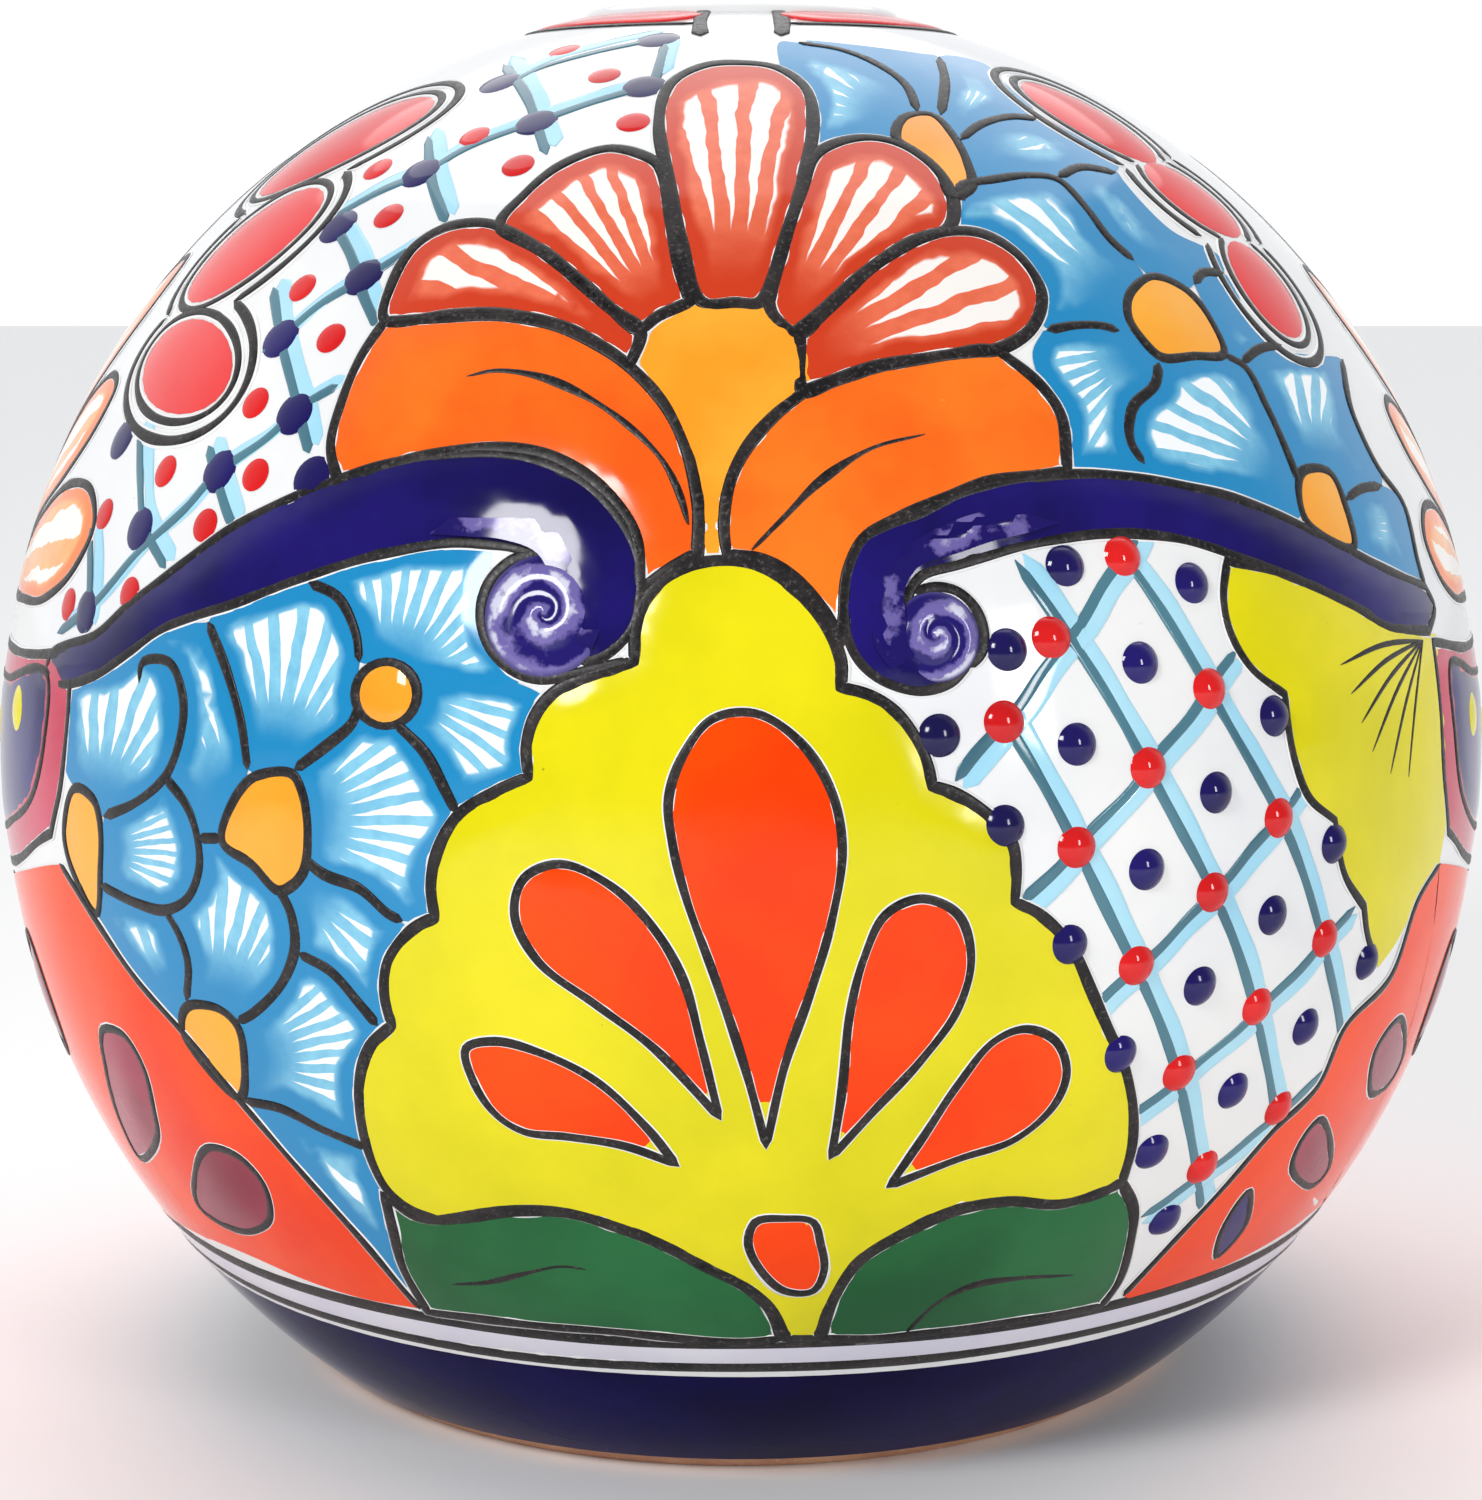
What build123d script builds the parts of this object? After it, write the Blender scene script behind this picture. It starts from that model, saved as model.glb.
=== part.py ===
from build123d import *
import math
import os

# Ball-shaped pottery vase. Millimetres, +Z up, origin at the centre of the ring it rests on.

# Body
belly_radius = 127.0  # widest radius, over the glaze
belly_height = 105.0  # the widest line above the resting face
foot_radius = 75.0  # radius that the body's outer curve reaches at the resting face
clay_wall = 7.0
floor_thickness = 9.0
floor_fillet = 12.0  # inside, where the wall runs into the floor
glaze_thickness = 0.6  # tin glaze and the colours in it
liner_thickness = 0.4  # clear glaze poured round the inside

# Foot
foot_ring_height = 3.0
foot_ring_width = 9.0
foot_edge_round = 1.0

# Joint between the two bowls
seam_coil_radius = 5.0  # roll of clay pressed over the joint from inside

# Mouth
mouth_radius = 20.0  # clear opening, inside the glaze
lip_width = 6.0
lip_rise = 1.8  # how far the glazed lip stands above the glaze round it
lip_round = 2.2

# Colour band at the bottom
cobalt_band_top = 24.0  # above the resting face

# Raised scroll eyes, as (degrees round from the front, degrees above the widest line, radius)
scroll_eyes = {"left": (-12.9, 16.7, 8.2), "right": (12.7, 15.3, 6.2)}
scroll_eye_height = 1.6

# Trellis of raised enamel dots beside the front shield, in degrees on the body.
# Across steps lead down to the left, down steps lead down to the right.
trellis_start = (32.6, 11.0)
trellis_across = (-5.4, -4.7)
trellis_down = (5.6, -9.0)
trellis_widening = (-0.4, 0.4)  # what every row down adds to the across step
red_dot_places = [(across, down) for down in range(3) for across in range(3)]
red_dot_places += [(0, -1), (1.15, -1.1), (2, -1), (1, 3), (2, 3)]
cobalt_dot_places = [(across - 0.5, down - 0.5) for down in range(4) for across in range(4)]
cobalt_dot_places += [(0.6, -1.3), (1.6, -1.3), (2.6, -1.3), (2.5, 3.3)]
dot_radius = 3.0
dot_height = 1.4

# The lower half is one arc that starts upright at the widest line and passes through the foot.
foot_inset = belly_radius - foot_radius
lower_arc_radius = (foot_inset**2 + belly_height**2) / (2 * foot_inset)
lower_arc_shift = lower_arc_radius - belly_radius  # its centre lies this far past the axis
far = 2 * (belly_radius + belly_height)  # larger than the vase, for trimming

# The lip sits in a round hole in the upper bowl, and its top follows from where the ball meets it.
lip_seat = mouth_radius + glaze_thickness + lip_width
lip_top = belly_height + math.sqrt(belly_radius**2 - lip_seat**2) + lip_rise


def span(low, high, start=0.0):
    """A tall slice of the half plane, from low to high and outwards from start."""
    rectangle = Rectangle(far - start, high - low, align=(Align.MIN, Align.MIN))
    return Plane.XZ * Pos(start, low) * rectangle


def body_section(inset):
    """Half section of the whole body, drawn in from its glazed face by inset."""
    upper_radius = belly_radius - inset
    lower_radius = lower_arc_radius - inset
    upper = Plane.XZ * Pos(0, belly_height) * Circle(upper_radius)
    lower = Plane.XZ * Pos(-lower_arc_shift, belly_height) * Circle(lower_radius)
    top = belly_height + belly_radius
    return (upper & span(belly_height, top)) + (lower & span(0, belly_height))


def cavity_section(inset):
    """Half section of the inside, drawn in from the bare clay by inset, with a rounded floor corner."""
    floor = foot_ring_height + floor_thickness + inset
    top = belly_height + belly_radius
    hollow = body_section(glaze_thickness + clay_wall + inset) & span(floor, top)
    corner = hollow.vertices().filter_by_position(Axis.Z, floor - 0.01, floor + 0.01).sort_by(Axis.X)[-1]
    return fillet(corner, floor_fillet - inset)


def coil_section(growth):
    """Half section of the seam coil, centred on the inner face of the clay at the widest line."""
    inner_radius = belly_radius - glaze_thickness - clay_wall
    return Plane.XZ * Pos(inner_radius, belly_height) * Circle(seam_coil_radius + growth)


def lip_section(growth):
    """Half section of the rolled lip, grown all round by growth, from the widest line up."""
    inner = mouth_radius + glaze_thickness - growth
    outer = mouth_radius + glaze_thickness + lip_width + growth
    top = lip_top - glaze_thickness + growth
    block = Plane.XZ * Pos(inner, belly_height) * Rectangle(
        outer - inner, top - belly_height, align=(Align.MIN, Align.MIN)
    )
    corners = block.vertices().filter_by_position(Axis.Z, top - 0.01, top + 0.01)
    return fillet(corners, lip_round + growth)


def turned(section):
    """The solid that a half section sweeps round the vase's axis."""
    return revolve(section, Axis.Z)


def clay_lower_bowl():
    bowl = body_section(glaze_thickness) & span(foot_ring_height, belly_height)
    return turned(bowl - cavity_section(0))


def clay_upper_bowl():
    top = belly_height + belly_radius
    bowl = body_section(glaze_thickness) & span(belly_height, top, lip_seat)
    return turned(bowl - cavity_section(0))


def seam_coil():
    return turned(coil_section(0) & cavity_section(0))


def foot_ring():
    inner_radius = foot_radius - glaze_thickness - foot_ring_width
    ring = body_section(glaze_thickness) & span(0, foot_ring_height, inner_radius)
    lower_corners = ring.vertices().filter_by_position(Axis.Z, -0.01, 0.01)
    return turned(fillet(lower_corners, foot_edge_round))


def mouth_lip():
    return turned(lip_section(0) - cavity_section(0))


def tin_glaze():
    skin = body_section(0) - body_section(glaze_thickness)
    top = belly_height + belly_radius
    return turned((skin & span(cobalt_band_top, belly_height)) + (skin & span(belly_height, top, lip_seat)))


def cobalt_base_band():
    skin = body_section(0) - body_section(glaze_thickness)
    return turned(skin & span(foot_ring_height, cobalt_band_top))


def lip_glaze():
    """Skin over the lip: it ends on the body's glaze outside and at the clay's inner face inside."""
    skin = lip_section(glaze_thickness) - lip_section(0) - cavity_section(0)
    under_body_glaze = body_section(0) & span(belly_height, belly_height + belly_radius, lip_seat)
    return turned(skin - under_body_glaze)


def liner_glaze():
    """Skin over the inside. It rides over the seam coil and stops at the mouth."""
    upper_part = span(belly_height, belly_height + belly_radius, mouth_radius)
    lower_part = span(foot_ring_height, belly_height)
    skin = cavity_section(0) - coil_section(0) - (cavity_section(liner_thickness) - coil_section(liner_thickness))
    return turned((skin & lower_part) + (skin & upper_part))


def boss_on_body(body, around, up, radius, height):
    """A domed drop standing on the body's glaze, placed by its angles round and above the widest line."""
    slope = math.radians(up)
    if up >= 0:
        centre_shift = 0.0
        reach = belly_radius
    else:
        centre_shift = lower_arc_shift
        reach = math.sqrt(lower_arc_radius**2 - (lower_arc_shift * math.sin(slope)) ** 2)
        reach -= lower_arc_shift * math.cos(slope)
    out = reach * math.cos(slope)
    rise = reach * math.sin(slope)
    normal_angle = math.atan2(rise, out + centre_shift)
    dome_radius = (radius**2 + height**2) / (2 * height)
    sink = dome_radius - height
    dome_out = out - sink * math.cos(normal_angle)
    dome_up = belly_height + rise - sink * math.sin(normal_angle)
    turn = math.radians(around)
    centre = (dome_out * math.sin(turn), -dome_out * math.cos(turn), dome_up)
    return Pos(*centre) * Sphere(dome_radius) - body


def trellis_place(across, down):
    """Degrees round and up of one point of the dot trellis."""
    across_step = [step + down * widening for step, widening in zip(trellis_across, trellis_widening)]
    around = trellis_start[0] + across * across_step[0] + down * trellis_down[0]
    up = trellis_start[1] + across * across_step[1] + down * trellis_down[1]
    return around, up


def dot_group(body, places, half_turn):
    """All dots of one colour on one face of the vase."""
    dots = []
    for across, down in places:
        around, up = trellis_place(across, down)
        dots.append(boss_on_body(body, around + half_turn, up, dot_radius, dot_height))
    return Compound(children=dots)


def all_nodes():
    """Every piece of the vase by name."""
    nodes = {
        "foot_ring": foot_ring(),
        "clay_lower_bowl": clay_lower_bowl(),
        "clay_upper_bowl": clay_upper_bowl(),
        "seam_coil": seam_coil(),
        "mouth_lip": mouth_lip(),
        "cobalt_base_band": cobalt_base_band(),
        "tin_glaze": tin_glaze(),
        "lip_glaze": lip_glaze(),
        "liner_glaze": liner_glaze(),
    }
    body = turned(body_section(0))
    for face, half_turn in (("front", 0.0), ("back", 180.0)):
        for side, (around, up, radius) in scroll_eyes.items():
            eye = boss_on_body(body, around + half_turn, up, radius, scroll_eye_height)
            nodes[f"scroll_eye_{face}_{side}"] = eye
        nodes[f"red_dots_{face}"] = dot_group(body, red_dot_places, half_turn)
        nodes[f"cobalt_dots_{face}"] = dot_group(body, cobalt_dot_places, half_turn)
    return nodes


os.makedirs("parts", exist_ok=True)
for name, piece in all_nodes().items():
    export_step(piece, f"parts/{name}.step")
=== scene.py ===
import math
import bpy
import numpy as np
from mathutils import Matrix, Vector
from mathutils.geometry import delaunay_2d_cdt


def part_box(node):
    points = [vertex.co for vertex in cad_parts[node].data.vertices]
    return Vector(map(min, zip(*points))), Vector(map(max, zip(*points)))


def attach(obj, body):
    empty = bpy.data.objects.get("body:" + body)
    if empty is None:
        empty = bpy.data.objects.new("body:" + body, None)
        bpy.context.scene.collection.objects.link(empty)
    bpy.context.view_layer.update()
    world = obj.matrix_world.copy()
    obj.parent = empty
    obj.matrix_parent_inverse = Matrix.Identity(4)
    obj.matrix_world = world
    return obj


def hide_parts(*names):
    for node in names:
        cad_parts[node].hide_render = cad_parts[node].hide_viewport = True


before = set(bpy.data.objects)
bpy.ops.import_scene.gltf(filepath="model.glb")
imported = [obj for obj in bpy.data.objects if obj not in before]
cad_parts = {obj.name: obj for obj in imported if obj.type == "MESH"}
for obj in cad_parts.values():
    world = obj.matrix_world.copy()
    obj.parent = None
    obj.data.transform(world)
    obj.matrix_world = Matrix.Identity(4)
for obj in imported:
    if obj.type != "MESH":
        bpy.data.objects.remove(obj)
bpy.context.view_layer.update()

# The room: a white tabletop and a bright white sweep behind the vase, in a dim room, with two
# soft boxes that leave window-like patches on the glaze. The eye is level with the shoulder.
bpy.ops.object.select_all(action="DESELECT")
belly_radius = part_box("tin_glaze")[1].x
belly_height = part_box("clay_lower_bowl")[1].z
viewing_distance = 4.5 * belly_radius
viewing_elevation = math.radians(9.0)

world = bpy.data.worlds.new("studio")
world.use_nodes = True
sky = world.node_tree
direction = sky.nodes.new("ShaderNodeTexCoord")
apart = sky.nodes.new("ShaderNodeSeparateXYZ")
sky.links.new(direction.outputs["Generated"], apart.inputs["Vector"])
sweep = sky.nodes.new("ShaderNodeMapRange")
sweep.interpolation_type = "SMOOTHSTEP"
for socket, value in (("From Min", -0.25), ("From Max", 0.55), ("To Min", 0.26), ("To Max", 1.05)):
    sweep.inputs[socket].default_value = value
sky.links.new(apart.outputs["Y"], sweep.inputs["Value"])
sky.nodes["Background"].inputs["Color"].default_value = (0.97, 0.98, 1.0, 1.0)
sky.links.new(sweep.outputs["Result"], sky.nodes["Background"].inputs["Strength"])
bpy.context.scene.world = world
bpy.context.scene.view_settings.view_transform = "Standard"

bpy.ops.mesh.primitive_plane_add(size=12.0, location=(0.0, 0.0, 0.0))
tabletop = bpy.context.active_object
tabletop.name = "tabletop"
paper = bpy.data.materials.new("white_paper")
paper.use_nodes = True
paper.node_tree.nodes["Principled BSDF"].inputs["Base Color"].default_value = (0.95, 0.95, 0.95, 1.0)
paper.node_tree.nodes["Principled BSDF"].inputs["Roughness"].default_value = 0.8
tabletop.data.materials.append(paper)


def soft_box(name, place, width, height, watts):
    """An oblong studio lamp that faces the middle of the vase."""
    lamp = bpy.data.lights.new(name, "AREA")
    lamp.shape = "RECTANGLE"
    lamp.size = width
    lamp.size_y = height
    lamp.energy = watts
    box = bpy.data.objects.new(name, lamp)
    box.location = place
    aim = Vector((0.0, 0.0, belly_height)) - Vector(place)
    box.rotation_euler = aim.to_track_quat("-Z", "Y").to_euler()
    bpy.context.collection.objects.link(box)


soft_box("left_soft_box", (-0.66, -0.98, 0.80), 0.28, 0.38, 9.5)
soft_box("right_soft_box", (0.85, -1.0, 0.45), 0.16, 0.42, 4.5)

skylight = bpy.data.lights.new("skylight", "SUN")
skylight.energy = 0.9
skylight.angle = math.radians(60.0)
overhead = bpy.data.objects.new("skylight", skylight)
overhead.rotation_euler = (math.radians(-35.0), 0.0, 0.0)
bpy.context.collection.objects.link(overhead)

lens = bpy.data.cameras.new("eye")
lens.lens = 77.7
lens.sensor_width = 36.0
lens.shift_y = -0.006
eye = bpy.data.objects.new("eye", lens)
eye.location = (
    0.0,
    -viewing_distance * math.cos(viewing_elevation),
    belly_height + viewing_distance * math.sin(viewing_elevation),
)
eye.rotation_euler = (math.radians(90.0) - viewing_elevation, 0.0, 0.0)
bpy.context.collection.objects.link(eye)
bpy.context.scene.camera = eye


# The clay: a low-fired red earthenware, pressed into two half moulds, luted at the widest line
# with a coil from inside, and given a thrown lip. Only the foot ring is left bare of glaze.
def add_node(tree, kind, **values):
    """A shader node with its settings and unlinked inputs filled in."""
    made = tree.nodes.new(kind)
    for key, value in values.items():
        if key in made.inputs:
            made.inputs[key].default_value = value
        else:
            setattr(made, key, value)
    return made


def new_finish(name):
    """An empty node material with its Principled shader and object coordinates."""
    finish = bpy.data.materials.new(name)
    finish.use_nodes = True
    tree = finish.node_tree
    shader = tree.nodes["Principled BSDF"]
    where = add_node(tree, "ShaderNodeTexCoord").outputs["Object"]
    return finish, tree, shader, where


def blended(tree, factor, low, high):
    """A colour that goes from low to high with factor; either may be a colour or a socket."""
    mix = add_node(tree, "ShaderNodeMix", data_type="RGBA")
    tree.links.new(factor, mix.inputs["Factor"])
    for socket, colour in ((mix.inputs["A"], low), (mix.inputs["B"], high)):
        if isinstance(colour, tuple):
            socket.default_value = (*colour, 1.0)
        else:
            tree.links.new(colour, socket)
    return mix.outputs["Result"]


def spread(tree, value, low, high, to_low=0.0, to_high=1.0):
    """Maps a value from low..high to a new range, smoothly and clamped."""
    ramp = add_node(tree, "ShaderNodeMapRange", interpolation_type="SMOOTHSTEP")
    ramp.inputs["From Min"].default_value = low
    ramp.inputs["From Max"].default_value = high
    ramp.inputs["To Min"].default_value = to_low
    ramp.inputs["To Max"].default_value = to_high
    tree.links.new(value, ramp.inputs["Value"])
    return ramp.outputs["Result"]


def noise(tree, where, scale, detail=3.0, roughness=0.55):
    made = add_node(tree, "ShaderNodeTexNoise", Scale=scale, Detail=detail, Roughness=roughness)
    tree.links.new(where, made.inputs["Vector"])
    return made.outputs["Fac"]


def bumped(tree, shader, height, strength, distance):
    bump = add_node(tree, "ShaderNodeBump", Strength=strength, Distance=distance)
    tree.links.new(height, bump.inputs["Height"])
    tree.links.new(bump.outputs["Normal"], shader.inputs["Normal"])


def terracotta():
    """Bare fired clay: uneven orange-brown with sandy grains and pin holes."""
    finish, tree, shader, where = new_finish("bare_terracotta")
    patches = spread(tree, noise(tree, where, 60.0), 0.35, 0.65)
    grains = noise(tree, where, 900.0, 6.0, 0.7)
    clay = blended(tree, patches, (0.50, 0.24, 0.14), (0.62, 0.34, 0.20))
    dusty = blended(tree, spread(tree, grains, 0.55, 0.75), clay, (0.74, 0.52, 0.38))
    tree.links.new(dusty, shader.inputs["Base Color"])
    tree.links.new(spread(tree, grains, 0.3, 0.7, 0.70, 0.92), shader.inputs["Roughness"])
    bumped(tree, shader, grains, 0.5, 0.0003)
    return finish


def dress(node, finish):
    """Gives a CAD node its finish in every material slot."""
    mesh = bpy.data.objects[node].data
    if not mesh.materials:
        mesh.materials.append(finish)
    for index in range(len(mesh.materials)):
        mesh.materials[index] = finish


bare_terracotta = terracotta()
for node in ("foot_ring", "clay_lower_bowl", "clay_upper_bowl", "seam_coil", "mouth_lip"):
    dress(node, bare_terracotta)


# The glazes: an opaque tin white all over the outside, colours laid on it, and a thin clear
# glaze poured round the inside. They are glassy, a little wavy, and darker where they pool.
def new_group(name, colours, gives):
    """A node group that takes a place and some colours, with its two end nodes."""
    group = bpy.data.node_groups.new(name, "ShaderNodeTree")
    group.interface.new_socket("Where", in_out="INPUT", socket_type="NodeSocketVector")
    for label in colours:
        group.interface.new_socket(label, in_out="INPUT", socket_type="NodeSocketColor")
    for label, kind in gives:
        group.interface.new_socket(label, in_out="OUTPUT", socket_type=f"NodeSocket{kind}")
    return group, group.nodes.new("NodeGroupInput"), group.nodes.new("NodeGroupOutput")


def glassy_surface():
    """Node group shared by every glaze: how colour, gloss and surface vary over it."""
    gives = (("Colour", "Color"), ("Roughness", "Float"), ("Height", "Float"))
    group, entry, leave = new_group("glassy_surface", ("Thin", "Pooled", "Speck"), gives)
    where = entry.outputs["Where"]
    cloud = spread(group, noise(group, where, 26.0, 4.0), 0.32, 0.70)
    colour = blended(group, cloud, entry.outputs["Thin"], entry.outputs["Pooled"])
    specks = spread(group, noise(group, where, 420.0, 2.0), 0.77, 0.83)
    colour = blended(group, specks, colour, entry.outputs["Speck"])
    group.links.new(colour, leave.inputs["Colour"])
    smears = noise(group, where, 14.0, 5.0, 0.6)
    group.links.new(spread(group, smears, 0.3, 0.75, 0.05, 0.16), leave.inputs["Roughness"])
    group.links.new(noise(group, where, 75.0, 2.0, 0.4), leave.inputs["Height"])
    return group


glassy = glassy_surface()


def glaze(name, thin, pooled, speck=None, gloss=0.38):
    """A finished glaze from its thin and pooled colours."""
    finish, tree, shader, where = new_finish(name)
    body = add_node(tree, "ShaderNodeGroup", node_tree=glassy)
    tree.links.new(where, body.inputs["Where"])
    for label, colour in (("Thin", thin), ("Pooled", pooled), ("Speck", speck or pooled)):
        body.inputs[label].default_value = (*colour, 1.0)
    tree.links.new(body.outputs["Colour"], shader.inputs["Base Color"])
    tree.links.new(body.outputs["Roughness"], shader.inputs["Roughness"])
    bumped(tree, shader, body.outputs["Height"], 0.10, 0.0006)
    shader.inputs["Specular IOR Level"].default_value = gloss
    return finish


def reopened(finish):
    """The node tree of a finished glaze, with its Principled shader and object coordinates."""
    tree = finish.node_tree
    return tree, tree.nodes["Principled BSDF"], add_node(tree, "ShaderNodeTexCoord").outputs["Object"]


tin_white = glaze("tin_white_glaze", (0.83, 0.83, 0.82), (0.76, 0.77, 0.79), (0.45, 0.42, 0.38))
cobalt = glaze("cobalt_glaze", (0.013, 0.006, 0.160), (0.004, 0.002, 0.060), (0.03, 0.02, 0.14), gloss=0.28)
dot_red = glaze("dot_red_enamel", (0.72, 0.012, 0.012), (0.55, 0.006, 0.008))
base_cobalt = glaze("base_cobalt_glaze", (0.006, 0.003, 0.070), (0.003, 0.002, 0.030), gloss=0.03)
dot_cobalt = glaze("dot_cobalt_enamel", (0.012, 0.006, 0.13), (0.005, 0.003, 0.06))
oval_red = glaze("rose_red_glaze", (0.80, 0.045, 0.045), (0.68, 0.02, 0.025))
liner = glaze("clear_liner_glaze", (0.52, 0.30, 0.20), (0.44, 0.24, 0.15))
dress("tin_glaze", tin_white)
dress("cobalt_base_band", base_cobalt)
dress("lip_glaze", tin_white)
dress("liner_glaze", liner)
for face in ("front", "back"):
    dress(f"red_dots_{face}", dot_red)
    dress(f"cobalt_dots_{face}", dot_cobalt)
    for side in ("left", "right"):
        dress(f"scroll_eye_{face}_{side}", cobalt)


# The pattern is pounced on through a stencil held up in front of each face. Its points are in
# hundredths of the belly radius from the ball's middle, and go straight back on to the glaze.
stencil_distance = 4.5  # belly radii from the ball's middle to the eye that looks through it
stencil_elevation = math.radians(9.0)
band_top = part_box("cobalt_base_band")[1]
lower_inset = belly_radius - band_top.x
lower_drop = belly_height - band_top.z
lower_arc = (lower_inset**2 + lower_drop**2) / (2 * lower_inset)  # radius of the fuller lower half
ball_middle = np.array((0.0, 0.0, belly_height))
millimetre = 0.001


def off_the_glaze(points):
    """How far points stand off the glazed body, and the outward direction at each."""
    around = np.hypot(points[:, 0], points[:, 1])
    up = points[:, 2] - belly_height
    arc = np.where(up < 0.0, lower_arc, belly_radius)
    across = around + arc - belly_radius
    reach = np.hypot(across, up)
    share = across / (reach * np.maximum(around, 1e-9))
    outward = np.column_stack((points[:, 0] * share, points[:, 1] * share, up / reach))
    return reach - arc, outward


def on_the_body(stencil, turn):
    """Carries stencil points on to the body, seen from turn degrees round, and says which way is out."""
    around = math.radians(turn)
    level, steep = math.cos(stencil_elevation), math.sin(stencil_elevation)
    right = np.array((math.cos(around), math.sin(around), 0.0))
    towards = np.array((math.sin(around) * level, -math.cos(around) * level, steep))
    upward = np.array((-math.sin(around) * steep, math.cos(around) * steep, level))
    eye_place = ball_middle + towards * stencil_distance * belly_radius
    flat = np.asarray(stencil, dtype=float) * belly_radius / 100.0
    through = ball_middle + flat[:, :1] * right + flat[:, 1:2] * upward - eye_place
    ray = through / np.linalg.norm(through, axis=1, keepdims=True)
    nearest = -(ray @ (eye_place - ball_middle))
    miss = np.linalg.norm(eye_place + ray * nearest[:, None] - ball_middle, axis=1)
    travel = nearest - np.sqrt(np.maximum(belly_radius**2 - miss**2, 0.0))
    for _ in range(12):
        place = eye_place + ray * travel[:, None]
        gap, outward = off_the_glaze(place)
        travel -= gap / np.minimum((ray * outward).sum(axis=1), -0.15)
    place = eye_place + ray * travel[:, None]
    gap, outward = off_the_glaze(place)
    return place - outward * gap[:, None], outward


def brush(points, closed=False):
    """A smooth stroke through stencil points, with a point about every 0.9 of its units."""
    points = np.asarray(points, dtype=float)
    if closed:
        ring = np.vstack((points[-1:], points, points[:2]))
    else:
        ring = np.vstack((2 * points[:1] - points[1:2], points, 2 * points[-1:] - points[-2:-1]))
    run = []
    for index in range(1, len(ring) - 2):
        a, b, c, d = ring[index - 1 : index + 3]
        gaps = [max(np.linalg.norm(end - start), 1e-6) for start, end in ((a, b), (b, c), (c, d))]
        knots = np.cumsum([0.0] + [gap**0.5 for gap in gaps])
        count = max(2, math.ceil(np.linalg.norm(c - b) / 0.9))
        t = np.linspace(knots[1], knots[2], count, endpoint=False)[:, None]
        ab = ((knots[1] - t) * a + (t - knots[0]) * b) / (knots[1] - knots[0])
        bc = ((knots[2] - t) * b + (t - knots[1]) * c) / (knots[2] - knots[1])
        cd = ((knots[3] - t) * c + (t - knots[2]) * d) / (knots[3] - knots[2])
        abc = ((knots[2] - t) * ab + (t - knots[0]) * bc) / (knots[2] - knots[0])
        bcd = ((knots[3] - t) * bc + (t - knots[1]) * cd) / (knots[3] - knots[1])
        run.append(((knots[2] - t) * abc + (t - knots[1]) * bcd) / (knots[2] - knots[1]))
    if not closed:
        run.append(points[-1:])
    return np.vstack(run)


def joined(*strokes):
    """A closed outline from strokes that meet at corners, each given by its points."""
    return np.vstack([brush(points)[:-1] for points in strokes])


def gap_to(points, outline):
    """Distance from each point to the nearest edge of a closed outline."""
    start = outline
    along = np.roll(outline, -1, axis=0) - start
    length = np.maximum((along**2).sum(axis=1), 1e-12)
    offset = points[:, None, :] - start[None]
    share = np.clip((offset * along).sum(axis=2) / length, 0.0, 1.0)
    return np.sqrt(((offset - share[..., None] * along) ** 2).sum(axis=2)).min(axis=1)


def within(points, outline):
    """Which points lie inside a closed outline."""
    x, y = points[:, 0][:, None], points[:, 1][:, None]
    x0, y0 = outline.T
    x1, y1 = np.roll(outline, -1, axis=0).T
    rises = (y0 > y) != (y1 > y)
    crossing = x0 + (y - y0) * (x1 - x0) / np.where(y1 == y0, 1e-12, y1 - y0)
    return (rises & (x < crossing)).sum(axis=1) % 2 == 1


def at_angles(around, up):
    """Places on the body by degrees round from the front and degrees up from the widest line."""
    around, up = np.radians(around), np.radians(up)
    arc = np.where(up < 0.0, lower_arc, belly_radius)
    out = arc * np.cos(up) - (arc - belly_radius)
    places = np.column_stack((out * np.sin(around), -out * np.cos(around), belly_height + arc * np.sin(up)))
    return places, off_the_glaze(places)[1]


def hoop(heart, radius, stretch=1.0, sides=40, along=(0.0, 0.0, 1.0)):
    """A round or oval ring on the body about a place on it, radius in millimetres, long way along."""
    out = off_the_glaze(heart[None])[1][0]
    across = np.cross(along, out)
    across /= np.linalg.norm(across)
    lengthwise = np.cross(out, across)
    turns = 2.0 * math.pi * np.arange(sides) / sides
    reach = np.column_stack((np.cos(turns), np.sin(turns) * stretch)) * radius * millimetre
    places = heart + reach[:, :1] * across + reach[:, 1:] * lengthwise
    gap, outward = off_the_glaze(places)
    return places - outward * gap[:, None], outward


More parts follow.
